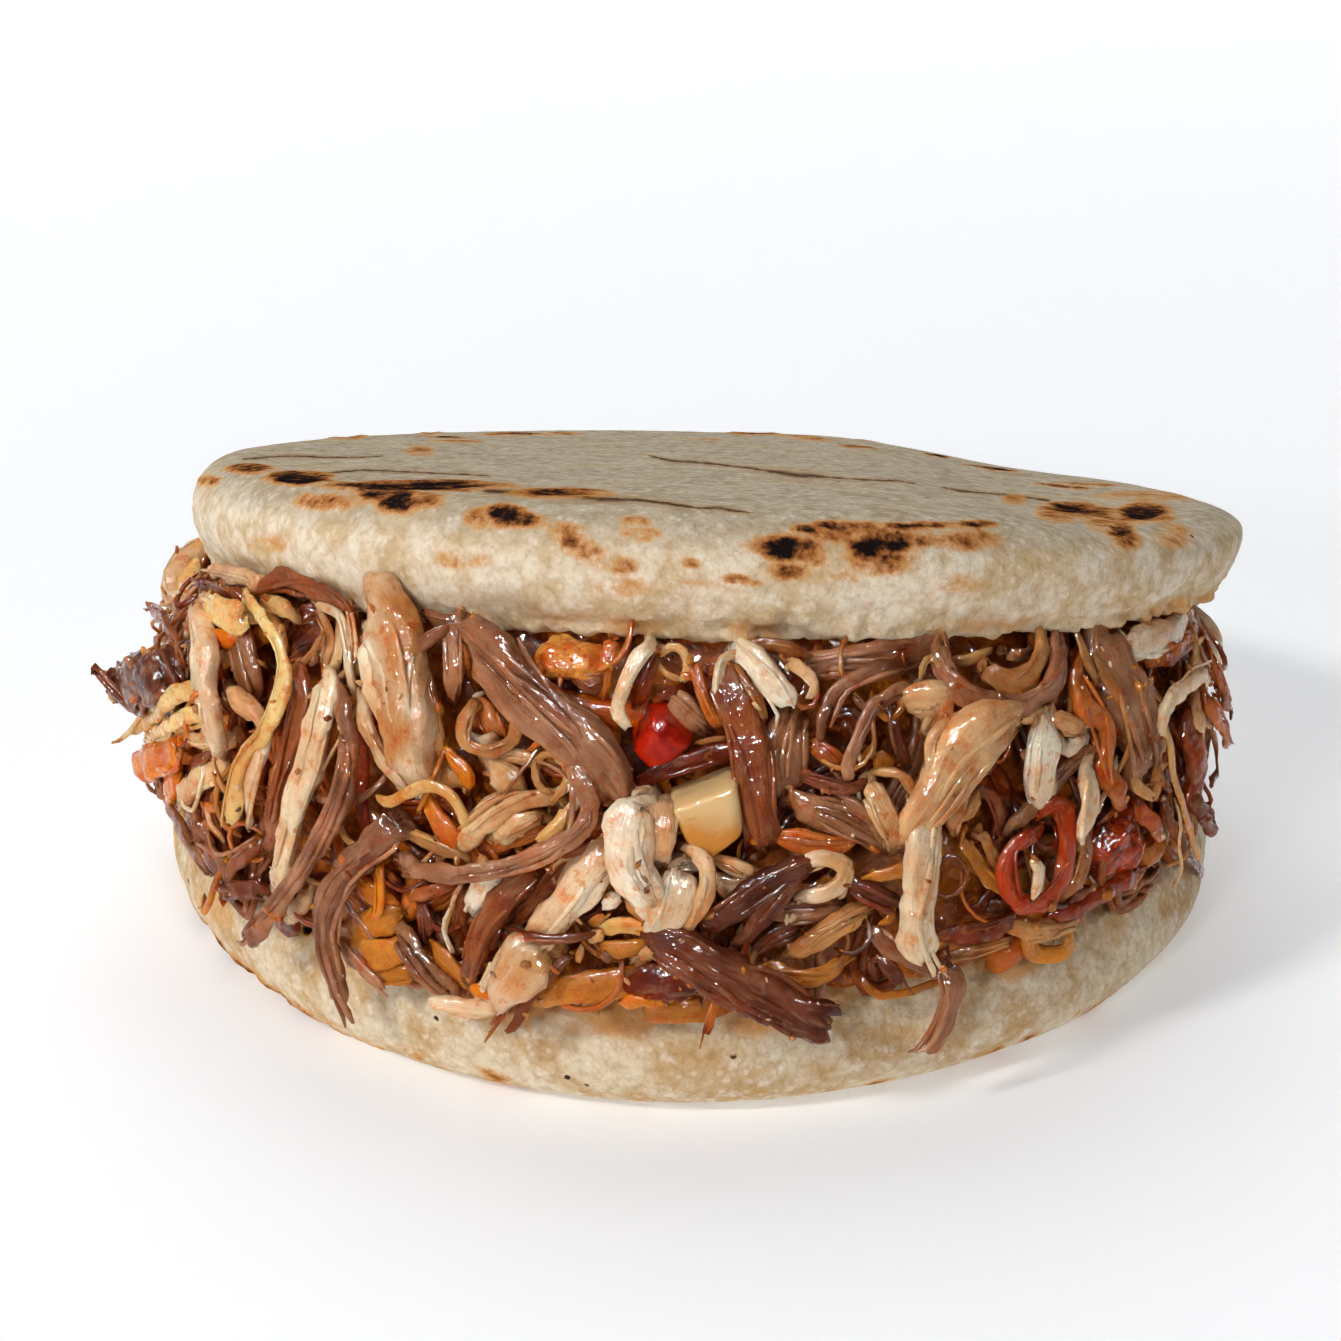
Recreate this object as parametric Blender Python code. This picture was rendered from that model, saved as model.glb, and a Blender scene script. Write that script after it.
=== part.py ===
"""A filled arepa: a griddled corn cake split in two halves, with shredded beef and chicken heaped between them.

The lower half lies flat, and the upper half leans back, so the mouth gapes at the front (-Y) and the filling spills
over the lower half's edge. Sizes are in millimetres and become metres where a mesh is made.
"""

import math
import random

import bmesh
import bpy
from mathutils import Euler, Matrix, Vector, noise

MM = 0.001

# Lower half
LOWER_RADIUS = 57.5
LOWER_THICK = 13.0

# Upper half, which leans back about X and a little to the right about Y
UPPER_RADIUS = 55.7
UPPER_THICK = 11.5
UPPER_CENTRE = Vector((3.4, 0.0, 40.4))
UPPER_LEAN = math.radians(13.7)
UPPER_ROLL = math.radians(1.4)

# Both halves: a rounded shoulder at the griddled skin, and a torn edge at the cut face
SHOULDER_INSET = 5.5
CUT_INSET = 2.6
LIP_ROUND = 0.9
WIDEST_SHARE = 0.56
OUTLINE_WOBBLE = 0.9
RELIEF = 0.28
TORN_EDGE = 0.55
BREAD_COLUMNS = 56

# Where the hand-shaped halves leave a circle: azimuth, how far in, and how wide a stretch in degrees
LOWER_FLATS = ((-42, 1.7, 26), (-62, 0.8, 16))
UPPER_FLATS = ((-88, -0.5, 20),)

# The upper half's skin sinks towards its right-hand edge
SINK_DEPTH = 2.7
SINK_FROM = 12.0
SINK_TO = 42.0

# Filling
GAP = 0.35
FRONT_REACH = 57.9
TOP_TUCK = 5.4
BACK_TUCK = 2.2
CORE_GAP = 0.9
CORE_DEPTH = 2.35
CORE_COLUMNS = 32
CORE_LEVELS = 4
TUCKED_DEPTH = 3.6
BACK_SHREDS = 30
BACK_FROM = 84.0
BACK_TO = 276.0
HANGING_SHARE = 0.22
SHRED_SEED = 11

# The photograph's viewpoint, fitted to the outlines of both halves. Picture positions are in its pixels.
EYE = Vector((-1.6, -265.0, 133.7))
EYE_DROP = math.radians(22.8)
PICTURE_MIDDLE = 670.5
PICTURE_FOCUS = 2599.0

# Where a line of sight is searched for the filling, in millimetres from the eye
SIGHT_NEAR = 195.0
SIGHT_FAR = 300.0
SIGHT_STEP = 1.5

# The shreds that show, as read by eye off the photograph: kind, lift off the filling's surface in millimetres,
# free ends (">" its last, "<" its first, "<>" both, "-" neither), and points along it as (x, y, width) in pixels.
SHREDS = (
    ("dark", 3.5, ">", (174, 672, 50), (150, 678, 52), (125, 686, 42), (98, 691, 18)),
    ("brown", 3.0, ">", (183, 662, 13), (176, 640, 14), (165, 622, 14), (152, 608, 13), (146, 603, 10)),
    ("gray", 1.0, "-", (172, 660, 26), (176, 680, 30), (172, 698, 20)),
    ("yellow", 2.5, ">", (206, 688, 18), (180, 694, 20), (158, 711, 16), (140, 726, 12), (122, 738, 5)),
    ("yellow", 1.6, "-", (207, 712, 18), (182, 720, 18), (156, 733, 14), (146, 742, 8)),
    ("orange", 2.4, ">", (186, 750, 28), (168, 756, 34), (148, 762, 34), (134, 768, 20)),
    ("chicken", 3.0, "-", (200, 622, 16), (205, 650, 40), (208, 680, 36), (213, 712, 19), (218, 745, 8)),
    ("onion", 3.2, "-", (212, 611, 26), (232, 617, 34), (248, 612, 22)),
    ("gray", 0.8, "-", (242, 628, 30), (247, 655, 44), (250, 682, 34)),
    ("gray", 1.0, "-", (235, 694, 24), (250, 708, 26), (262, 722, 14)),
    ("chicken", 2.0, "<", (207, 571, 9), (225, 573, 12), (245, 579, 18), (264, 588, 20)),
    (
        "yellow", 3.8, ">",
        (248, 600, 14), (266, 622, 12), (279, 650, 11), (284, 676, 10), (278, 706, 11), (264, 730, 12),
        (248, 751, 14), (238, 774, 18), (234, 802, 20), (228, 828, 12),
    ),
    ("white", 3.0, "-", (272, 728, 8), (264, 748, 14), (256, 772, 16), (250, 796, 14), (250, 820, 6)),
    (
        "brown", 1.6, "-",
        (258, 594, 10), (272, 582, 12), (290, 579, 16), (315, 590, 22), (338, 600, 18), (352, 615, 14),
    ),
    ("deep", -1.6, "-", (290, 640, 24), (303, 622, 26), (322, 615, 20)),
    ("deep", -1.2, "-", (296, 655, 22), (312, 641, 26), (334, 636, 22)),
    ("brown", -1.2, "-", (294, 672, 22), (316, 662, 24), (338, 655, 20)),
    ("chicken", 1.6, "-", (320, 605, 8), (338, 614, 10), (345, 640, 10), (350, 668, 8), (353, 690, 7)),
    (
        "brown", 2.2, "-",
        (304, 672, 16), (301, 700, 21), (295, 727, 25), (287, 757, 22), (280, 787, 18), (275, 817, 14),
        (271, 845, 11),
    ),
    (
        "stained", 2.8, "-",
        (334, 680, 12), (322, 710, 22), (313, 742, 33), (306, 774, 33), (296, 806, 27), (288, 838, 22),
        (282, 866, 15), (279, 888, 6),
    ),
    (
        "beef", 3.4, ">",
        (341, 690, 16), (344, 716, 21), (347, 745, 20), (346, 774, 20), (338, 804, 22), (327, 834, 17),
        (312, 856, 14), (298, 876, 12), (284, 896, 13), (270, 913, 16), (260, 930, 17), (247, 941, 9),
    ),
    ("peach", 2.4, "-", (362, 700, 16), (364, 722, 20), (374, 746, 19), (390, 770, 16), (402, 786, 8)),
    ("gray", 1.4, "-", (184, 796, 18), (204, 776, 25), (228, 764, 18)),
    ("gray", 1.4, "-", (170, 802, 16), (180, 826, 22), (192, 848, 20), (208, 864, 14)),
    ("beef", 1.6, "-", (203, 852, 20), (220, 868, 22), (236, 886, 16)),
    ("brown", 0.6, "-", (192, 802, 18), (199, 824, 26), (210, 846, 22)),
    (
        "beef", 3.4, ">",
        (398, 822, 36), (380, 838, 28), (360, 857, 20), (343, 876, 18), (331, 898, 20), (325, 924, 22),
        (327, 950, 22), (334, 973, 20), (342, 996, 23), (350, 1013, 18),
    ),
    ("orange", 1.0, "-", (360, 882, 18), (372, 894, 28), (390, 906, 18)),
    ("onion", 1.2, "-", (344, 938, 26), (370, 928, 32), (398, 914, 24)),
    ("onion", 1.4, "-", (362, 954, 26), (388, 956, 30), (408, 944, 20)),
    ("onion", 1.0, "-", (370, 972, 20), (394, 978, 24), (414, 970, 14)),
    (
        "chicken", 3.0, "-",
        (383, 604, 36), (391, 625, 64), (398, 650, 58), (402, 680, 50), (406, 710, 44), (409, 740, 38),
        (416, 770, 24),
    ),
    ("chicken", 3.2, "-", (370, 636, 20), (369, 668, 26), (378, 696, 20), (390, 722, 14)),
    ("tan", 1.8, "-", (414, 652, 20), (424, 690, 24), (430, 725, 24), (434, 758, 14)),
    ("beef", 2.6, "-", (460, 618, 13), (453, 640, 21), (454, 662, 20), (453, 682, 10), (451, 694, 5)),
    (
        "beef", 3.4, "-",
        (478, 638, 42), (499, 662, 58), (526, 690, 52), (556, 718, 50), (585, 744, 48), (604, 766, 38),
        (610, 788, 24),
    ),
    (
        "tan", 2.6, "-",
        (518, 702, 10), (519, 722, 12), (510, 742, 14), (490, 752, 15), (470, 748, 15), (460, 735, 13),
        (464, 718, 11), (477, 704, 9),
    ),
    ("white", 1.8, "-", (494, 766, 22), (505, 779, 30), (515, 792, 20)),
    (
        "tan", 2.8, "-",
        (554, 796, 9), (538, 787, 9), (534, 768, 9), (546, 754, 9), (561, 758, 9), (568, 774, 9),
        (562, 790, 9), (550, 802, 9),
    ),
    (
        "beef", 4.2, "-",
        (568, 758, 14), (582, 784, 16), (590, 808, 18), (582, 828, 20), (562, 843, 18), (535, 855, 16),
        (505, 863, 14), (472, 870, 16), (440, 873, 18), (412, 871, 14),
    ),
    (
        "yellow", 3.4, "<",
        (371, 798, 10), (388, 803, 13), (408, 794, 13), (428, 786, 12), (446, 791, 12), (457, 806, 12),
        (466, 826, 9),
    ),
    ("orange", 1.8, "-", (430, 798, 18), (440, 820, 25), (452, 838, 20), (461, 848, 9)),
    ("deep", 0.2, "-", (400, 812, 20), (420, 816, 26), (440, 810, 16)),
    ("tan", 2.2, "-", (465, 842, 22), (485, 821, 24), (510, 804, 22), (535, 797, 18), (556, 796, 10)),
    ("peach", 2.0, "-", (498, 840, 18), (515, 826, 24), (538, 816, 18)),
    ("tan", 1.6, "-", (400, 835, 16), (420, 838, 18), (442, 848, 16), (462, 857, 11)),
    ("white", 2.6, "-", (502, 871, 12), (489, 884, 22), (477, 898, 18), (473, 908, 7)),
    (
        "brown", 3.0, "-",
        (534, 870, 12), (511, 890, 26), (493, 913, 28), (481, 938, 24), (471, 964, 18), (468, 982, 9),
    ),
    ("chicken", 2.6, "-", (610, 846, 22), (590, 872, 38), (568, 900, 38), (548, 926, 34), (532, 946, 22)),
    ("white", 3.0, "-", (544, 942, 32), (524, 962, 52), (508, 981, 38), (496, 998, 18)),
    ("brown", 3.8, "-", (592, 934, 8), (562, 938, 12), (532, 937, 12), (510, 930, 9)),
    ("chicken", 2.0, ">", (498, 1008, 10), (472, 1007, 18), (446, 1004, 14), (423, 1001, 7)),
    (
        "brown", 3.2, ">",
        (572, 954, 10), (549, 974, 14), (532, 995, 14), (522, 1014, 14), (512, 1028, 10),
        (502, 1033, 6),
    ),
    ("onion", 1.6, "-", (540, 1000, 10), (565, 992, 24), (600, 985, 36), (636, 978, 26)),
    ("gray", 2.0, "-", (406, 936, 20), (415, 960, 28), (431, 980, 26), (450, 991, 12)),
    ("onion", 1.2, "-", (434, 948, 20), (449, 965, 22), (464, 985, 14)),
    ("brown", 1.2, "-", (592, 848, 16), (562, 872, 20), (535, 904, 18), (514, 926, 12)),
    ("deep", 0.6, "-", (622, 790, 16), (606, 826, 22), (592, 856, 16)),
    ("brown", 1.0, "-", (570, 672, 14), (590, 688, 22), (606, 678, 14)),
    (
        "chicken", 3.4, ">",
        (650, 641, 16), (636, 658, 17), (625, 680, 18), (617, 702, 18), (622, 721, 12), (629, 732, 6),
    ),
    ("stained", 2.4, "-", (656, 650, 16), (646, 678, 19), (638, 702, 12)),
    ("stained", 2.2, "-", (689, 660, 10), (697, 681, 12), (706, 704, 14), (719, 727, 13)),
    ("gray", 1.2, "-", (670, 694, 18), (686, 710, 27), (704, 727, 22)),
    ("sauce", 1.8, "-", (641, 786, 16), (662, 771, 18), (690, 758, 20), (718, 752, 20), (738, 753, 12)),
    ("white", 3.2, ">", (742, 652, 22), (758, 662, 26), (774, 680, 30), (788, 700, 24), (789, 715, 11)),
    (
        "brown", 2.6, "-",
        (722, 672, 12), (735, 700, 30), (748, 735, 38), (754, 775, 32), (759, 808, 24), (766, 838, 16),
    ),
    ("gray", 1.0, "-", (792, 716, 32), (785, 750, 40), (784, 784, 30)),
    ("dark", 2.6, "-", (798, 771, 14), (822, 782, 15), (845, 790, 14), (866, 784, 8)),
    ("gray", 1.8, "-", (794, 803, 18), (820, 812, 34), (850, 822, 30), (878, 842, 16)),
    ("stained", 2.2, "-", (774, 837, 12), (800, 843, 22), (830, 845, 24), (852, 838, 14)),
    (
        "white", 4.2, "-",
        (642, 797, 22), (632, 820, 44), (629, 850, 52), (632, 874, 44), (643, 890, 32), (656, 908, 14),
    ),
    ("peach", 4.0, "-", (663, 806, 20), (663, 830, 30), (658, 854, 22)),
    ("white", 3.8, "-", (681, 866, 18), (678, 890, 36), (668, 912, 34), (655, 930, 12)),
    ("chicken", 4.0, "-", (688, 850, 12), (705, 862, 16), (708, 885, 18), (698, 908, 16), (683, 932, 7)),
    ("dark", 3.2, "-", (814, 862, 14), (786, 874, 24), (755, 890, 26), (725, 911, 30), (698, 922, 12)),
    ("dark", 3.6, "-", (802, 870, 16), (778, 895, 22), (760, 918, 20), (740, 940, 10)),
    ("white", 1.6, "-", (714, 884, 18), (732, 888, 26), (750, 878, 14)),
    (
        "white", 2.8, "-",
        (799, 863, 12), (822, 856, 18), (842, 862, 18), (846, 877, 16), (830, 890, 19), (804, 896, 14),
    ),
    ("tan", 2.2, "-", (866, 908, 14), (846, 922, 26), (820, 938, 26), (796, 951, 14)),
    ("gray", 1.6, "-", (768, 912, 14), (796, 912, 26), (832, 907, 18)),
    ("gray", 1.2, "-", (762, 946, 14), (780, 935, 24), (798, 924, 18)),
    ("onion", 1.6, "-", (768, 966, 12), (790, 978, 22), (816, 978, 22), (846, 960, 12)),
    (
        "dark", 3.6, ">",
        (654, 936, 14), (680, 950, 34), (706, 963, 52), (733, 981, 58), (760, 999, 48), (787, 1014, 34),
        (814, 1027, 22), (838, 1033, 8),
    ),
    ("dark", 3.8, ">", (778, 1000, 20), (804, 1006, 20), (828, 1008, 17), (841, 1013, 9)),
    ("sauce", 2.6, "-", (635, 986, 10), (654, 979, 30), (676, 985, 42), (698, 985, 18)),
    ("yellow", 2.4, "-", (604, 928, 14), (628, 923, 20), (654, 937, 14)),
    ("beef", 0.8, "-", (804, 665, 8), (825, 661, 16), (856, 660, 30), (895, 656, 36), (932, 645, 24)),
    (
        "beef", 2.8, ">",
        (902, 664, 18), (866, 674, 17), (841, 688, 14), (827, 706, 10), (823, 724, 8), (823, 744, 5),
    ),
    (
        "beef", 3.2, "-",
        (902, 688, 16), (881, 697, 15), (866, 713, 14), (858, 735, 12), (851, 757, 11), (848, 778, 7),
    ),
    ("brown", 2.2, "-", (893, 696, 13), (892, 720, 15), (897, 745, 13), (906, 766, 9)),
    ("deep", 0.2, "-", (832, 718, 20), (846, 716, 28), (856, 736, 20)),
    ("peach", 2.8, "-", (903, 699, 12), (924, 698, 34), (940, 699, 36), (932, 724, 14)),
    (
        "beef", 3.2, "-",
        (937, 640, 8), (943, 660, 13), (956, 686, 20), (985, 701, 24), (1020, 705, 22), (1048, 691, 22),
        (1059, 665, 18), (1056, 636, 12),
    ),
    ("tan", 2.8, "-", (983, 668, 16), (1008, 679, 22), (1032, 673, 24), (1042, 650, 20), (1040, 630, 12)),
    (
        "tan", 4.0, "-",
        (1004, 718, 34), (980, 738, 62), (959, 765, 52), (941, 792, 40), (926, 812, 32), (911, 831, 15),
    ),
    ("peach", 4.2, "-", (957, 717, 13), (936, 731, 14), (928, 752, 14), (932, 775, 14), (943, 792, 11)),
    ("peach", 3.2, "-", (867, 780, 12), (880, 800, 22), (888, 822, 22), (893, 844, 8)),
    ("gray", 2.4, "-", (836, 797, 16), (858, 808, 19), (874, 824, 20), (885, 847, 11)),
    (
        "white", 2.8, "-",
        (1041, 720, 22), (1040, 742, 38), (1040, 766, 22), (1040, 785, 14), (1040, 797, 8),
    ),
    ("beef", 2.0, "-", (1094, 750, 12), (1072, 765, 17), (1054, 785, 18), (1034, 803, 12)),
    (
        "gray", 1.8, "-",
        (1094, 628, 28), (1105, 655, 50), (1118, 686, 62), (1132, 716, 58), (1141, 746, 42),
        (1136, 772, 22),
    ),
    ("gray", 2.8, "-", (1104, 646, 12), (1130, 668, 14), (1150, 690, 16), (1164, 714, 12)),
    (
        "tan", 2.8, "-",
        (1091, 653, 12), (1109, 681, 14), (1125, 710, 14), (1130, 740, 14), (1120, 768, 11),
    ),
    (
        "stained", 3.0, "-",
        (1078, 662, 16), (1078, 690, 24), (1086, 712, 22), (1104, 722, 18), (1108, 745, 22),
        (1104, 769, 26), (1116, 793, 18), (1121, 803, 7),
    ),
    (
        "chicken", 3.6, "-",
        (1087, 761, 11), (1090, 785, 19), (1091, 806, 24), (1086, 826, 14), (1084, 834, 6),
    ),
    ("white", 2.8, "-", (1116, 643, 13), (1138, 644, 24), (1160, 636, 34), (1178, 625, 18)),
    ("brown", 1.2, "-", (1096, 624, 18), (1122, 617, 26), (1150, 612, 22), (1170, 612, 12)),
    ("stained", 2.2, "-", (1138, 659, 13), (1160, 661, 17), (1181, 649, 17), (1192, 632, 11)),
    (
        "stained", 2.6, ">",
        (1204, 638, 10), (1212, 658, 14), (1219, 677, 14), (1226, 696, 12), (1231, 710, 10),
        (1231, 721, 6),
    ),
    ("stained", 2.8, ">", (1200, 688, 20), (1212, 710, 17), (1222, 729, 14), (1230, 746, 6)),
    (
        "chicken", 3.4, "<",
        (1207, 672, 10), (1190, 682, 16), (1173, 696, 20), (1163, 713, 16), (1160, 730, 9),
    ),
    ("red", 1.6, "-", (1184, 718, 22), (1191, 750, 34), (1194, 780, 32), (1186, 806, 22)),
    (
        "fat", 3.2, ">",
        (1163, 722, 8), (1170, 750, 9), (1174, 778, 9), (1183, 808, 9), (1192, 835, 8), (1199, 860, 5),
    ),
    ("tan", 2.2, "-", (1150, 728, 18), (1158, 756, 14), (1156, 788, 11)),
    ("brown", 1.8, "-", (1164, 798, 14), (1172, 824, 14), (1185, 848, 12), (1198, 868, 6)),
    (
        "chicken", 4.0, ">",
        (928, 820, 34), (924, 850, 42), (921, 880, 40), (918, 905, 38), (915, 930, 36), (920, 952, 26),
        (929, 968, 9),
    ),
    (
        "beef", 3.0, ">",
        (944, 962, 18), (956, 985, 22), (950, 1008, 22), (943, 1030, 22), (934, 1048, 22),
        (922, 1057, 14),
    ),
    ("onion", 3.4, ">", (866, 877, 12), (889, 872, 18), (908, 868, 15), (918, 874, 8)),
    ("dark", 2.0, "-", (843, 878, 14), (868, 890, 20), (898, 908, 12)),
    ("beef", 2.2, "-", (868, 922, 14), (884, 944, 15), (906, 960, 14), (932, 972, 9)),
    ("onion", 1.6, "-", (962, 836, 14), (974, 860, 17), (990, 880, 17), (1008, 896, 13)),
    (
        "roast", 2.4, "-",
        (1040, 813, 18), (1054, 802, 22), (1067, 820, 24), (1066, 850, 24), (1060, 880, 24),
        (1040, 904, 20), (1016, 900, 19), (1004, 880, 18), (1005, 858, 14), (1017, 841, 14),
        (1036, 834, 13),
    ),
    ("onion", 1.2, "-", (1003, 924, 12), (1028, 928, 24), (1056, 928, 17), (1074, 921, 9)),
    ("onion", 1.2, "-", (943, 937, 18), (970, 932, 24), (1000, 925, 19), (1014, 914, 9)),
    ("tan", 2.2, "-", (1088, 834, 13), (1085, 862, 17), (1075, 888, 14), (1065, 898, 8)),
    ("sauce", 1.8, "-", (1048, 916, 12), (1078, 909, 18), (1105, 892, 18), (1134, 876, 12)),
)

# How thick each kind of shred is for its width
FLATNESS = {
    "beef": 0.6,
    "brown": 0.6,
    "chicken": 0.6,
    "dark": 0.6,
    "deep": 0.5,
    "fat": 0.6,
    "gray": 0.5,
    "onion": 0.45,
    "orange": 0.65,
    "peach": 0.6,
    "red": 0.55,
    "roast": 0.45,
    "sauce": 0.55,
    "stained": 0.5,
    "tan": 0.5,
    "white": 0.6,
    "yellow": 0.6,
}
THICKEST = 4.6

# Diced pieces that sit in the filling: picture position, lift, then width, height and depth in millimetres
PEPPER = (662, 737, 0.9, 6.2, 6.4, 5.2)
CUBE = (706, 812, 1.4, 7.0, 8.0, 5.2)
SAUCED = (572, 660, 0.2, 8.0, 4.2, 5.6)
TOMATO = (1112, 845, 0.6, 8.0, 7.4, 5.0)

COLOURS = {
    "corn_dough": ((0.62, 0.50, 0.34, 1.0), 0.75),
    "shredded_meat": ((0.34, 0.16, 0.08, 1.0), 0.4),
    "red_pepper": ((0.50, 0.03, 0.012, 1.0), 0.25),
    "root_vegetable": ((0.68, 0.42, 0.18, 1.0), 0.4),
    "sauced_meat": ((0.66, 0.22, 0.04, 1.0), 0.4),
    "roast_tomato": ((0.22, 0.03, 0.012, 1.0), 0.3),
}


def clear_scene():
    for obj in list(bpy.data.objects):
        bpy.data.objects.remove(obj)


def material(name):
    """The named finish as a Principled BSDF."""
    found = bpy.data.materials.get(name)
    if found:
        return found
    colour, roughness = COLOURS[name]
    made = bpy.data.materials.new(name)
    made.use_nodes = True
    shader = made.node_tree.nodes["Principled BSDF"]
    shader.inputs["Base Color"].default_value = colour
    shader.inputs["Roughness"].default_value = roughness
    shader.inputs["Metallic"].default_value = 0.0
    return made


def mesh_object(name, points, faces, finish):
    """An object from points in millimetres."""
    mesh = bpy.data.meshes.new(name)
    mesh.from_pydata([Vector(p) * MM for p in points], [], faces)
    mesh.validate()
    mesh.materials.append(material(finish))
    obj = bpy.data.objects.new(name, mesh)
    bpy.context.scene.collection.objects.link(obj)
    return obj


def smooth(low, high, value):
    """0 below low, 1 above high, and an S-curve between."""
    share = min(max((value - low) / (high - low), 0.0), 1.0)
    return share * share * (3 - 2 * share)


def upper_matrix():
    """Where the upper half sits, in millimetres."""
    turn = Euler((-UPPER_LEAN, UPPER_ROLL, 0.0)).to_matrix().to_4x4()
    return Matrix.Translation(UPPER_CENTRE) @ turn


UPPER_PLACE = upper_matrix()
UPPER_INVERSE = UPPER_PLACE.inverted()
CUT_POINT = UPPER_PLACE @ Vector((0.0, 0.0, -UPPER_THICK / 2))
CUT_NORMAL = UPPER_PLACE.to_3x3() @ Vector((0.0, 0.0, 1.0))


def outline(radius, azimuth, seed, flats):
    """The radius of a hand-shaped disc at an azimuth: nearly round, with soft flats."""
    turn = math.radians(azimuth)
    spot = Vector((math.sin(turn), -math.cos(turn), seed))
    reach = radius + OUTLINE_WOBBLE * noise.noise(spot * 1.3) + 0.35 * noise.noise(spot * 4.0)
    for middle, depth, spread in flats:
        away = (azimuth - middle + 180) % 360 - 180
        reach -= depth * math.exp(-((away / spread) ** 2))
    return reach


def bread_profile(thick, grow):
    """(inset, height, rawness) from the skin face's edge down to the cut face's edge.

    Rawness is 0 on the smooth skin and 1 at the torn edge. The skin is at the top.
    """
    skin = thick / 2
    widest = -skin + thick * WIDEST_SHARE
    found = []
    for step in range(5):
        turn = math.pi / 2 * step / 4
        inset = SHOULDER_INSET * (1 - math.sin(turn))
        found.append((inset - grow, widest + (skin + grow - widest) * math.cos(turn), 0.0))
    for step in (1, 2, 3):
        share = step / 3
        height = widest + (-skin + LIP_ROUND - widest) * share
        found.append((CUT_INSET * share**2 - grow, height, share))
    found.append((CUT_INSET + LIP_ROUND - grow, -skin - grow, 1.0))
    return found


def around(azimuth, radius):
    """The x and y of a point at an azimuth from the front, in degrees."""
    turn = math.radians(azimuth)
    return radius * math.sin(turn), -radius * math.cos(turn)


def bread_shape(radius, thick, seed, flats, sink, grow=0.0):
    """Points and faces of one half, skin up, centred on its own middle. grow makes a cutter that leaves a gap."""
    skin = thick / 2 + grow
    widest = -thick / 2 + thick * WIDEST_SHARE
    rings = [(SHOULDER_INSET + (radius - SHOULDER_INSET) * (1 - share), skin, 0.0) for share in (0.25, 0.5, 0.75)]
    rings += bread_profile(thick, grow)
    points = [(0.0, 0.0, skin)]
    for inset, height, rawness in rings:
        for column in range(BREAD_COLUMNS):
            azimuth = 360 * column / BREAD_COLUMNS
            spot = Vector((*around(azimuth, 5.0), height / 5 + seed))
            relief = RELIEF * noise.noise(spot) + rawness * TORN_EDGE * noise.noise(spot * 2.2)
            x, y = around(azimuth, outline(radius, azimuth, seed, flats) - inset + relief)
            above = max(height - widest, 0.0) / (skin - widest)
            drop = sink * smooth(SINK_FROM, SINK_TO, x) * above
            points.append((x, y, height - drop))
    points.append((0.0, 0.0, -thick / 2 - grow))
    return points, ring_faces(len(rings), BREAD_COLUMNS)


def ring_faces(rings, columns):
    """Faces over rings of points stacked from the top, with one point first and one last as the ends."""
    faces = []
    for column in range(columns):
        after = (column + 1) % columns
        faces.append((0, 1 + column, 1 + after))
        for ring in range(rings - 1):
            here, below = 1 + ring * columns, 1 + (ring + 1) * columns
            faces.append((here + column, below + column, below + after, here + after))
        last = 1 + (rings - 1) * columns
        faces.append((rings * columns + 1, last + after, last + column))
    return faces


def make_lower(name="arepa_lower", grow=0.0):
    """The lower half, skin down on the floor."""
    points, faces = bread_shape(LOWER_RADIUS, LOWER_THICK, 3.0, LOWER_FLATS, 0.0, grow)
    turned = [(x, y, LOWER_THICK / 2 - z) for x, y, z in points]
    obj = mesh_object(name, turned, faces, "corn_dough")
    outward_facing(obj)
    return obj


def make_upper(name="arepa_upper", grow=0.0):
    """The upper half, skin up on its lean."""
    points, faces = bread_shape(UPPER_RADIUS, UPPER_THICK, 8.0, UPPER_FLATS, SINK_DEPTH, grow)
    placed = [UPPER_PLACE @ Vector(p) for p in points]
    obj = mesh_object(name, placed, faces, "corn_dough")
    outward_facing(obj)
    return obj


def ceiling(x, y):
    """Height of the upper half's cut face over a point."""
    tilt = CUT_NORMAL.x * (x - CUT_POINT.x) + CUT_NORMAL.y * (y - CUT_POINT.y)
    return CUT_POINT.z - tilt / CUT_NORMAL.z


def filling_top(azimuth):
    return ceiling(*around(azimuth, UPPER_RADIUS - CUT_INSET))


def reach_at(azimuth, height):
    """How far out the filling's surface is."""
    share = (height - LOWER_THICK) / (filling_top(azimuth) - LOWER_THICK)
    share = min(max(share, 0.0), 1.1)
    behind = (1 - math.cos(math.radians(azimuth))) / 2
    return FRONT_REACH - TOP_TUCK * share**3 - BACK_TUCK * behind


def surface(azimuth, height, lift=0.0):
    """A point on the filling's surface, or lifted off it."""
    return Vector((*around(azimuth, reach_at(azimuth, height) + lift), height))


def sight(x, y):
    """The direction from the eye through a picture position."""
    ahead = Vector((0.0, math.cos(EYE_DROP), -math.sin(EYE_DROP)))
    up = Vector((0.0, math.sin(EYE_DROP), math.cos(EYE_DROP)))
    across = Vector((1.0, 0.0, 0.0))
    return ahead + (across * (x - PICTURE_MIDDLE) - up * (y - PICTURE_MIDDLE)) / PICTURE_FOCUS


def seen(x, y, lift):
    """The point on the filling's surface, lifted, that shows at a picture position, and millimetres per pixel there.

    Where the line of sight only passes by the surface, it is the point nearest to it.
    """
    ray = sight(x, y)

    def outside(depth):
        point = EYE + ray * depth
        azimuth = math.degrees(math.atan2(point.x, -point.y))
        return math.hypot(point.x, point.y) - reach_at(azimuth, point.z) - lift

    near = SIGHT_NEAR
    closest = near
    while near < SIGHT_FAR and outside(near) > 0:
        near += SIGHT_STEP
        if outside(near) < outside(closest):
            closest = near
    if near >= SIGHT_FAR:
        return EYE + ray * closest, closest / PICTURE_FOCUS
    far = near
    near -= SIGHT_STEP
    for _ in range(10):
        middle = (near + far) / 2
        if outside(middle) > 0:
            near = middle
        else:
            far = middle
    return EYE + ray * far, far / PICTURE_FOCUS


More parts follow.
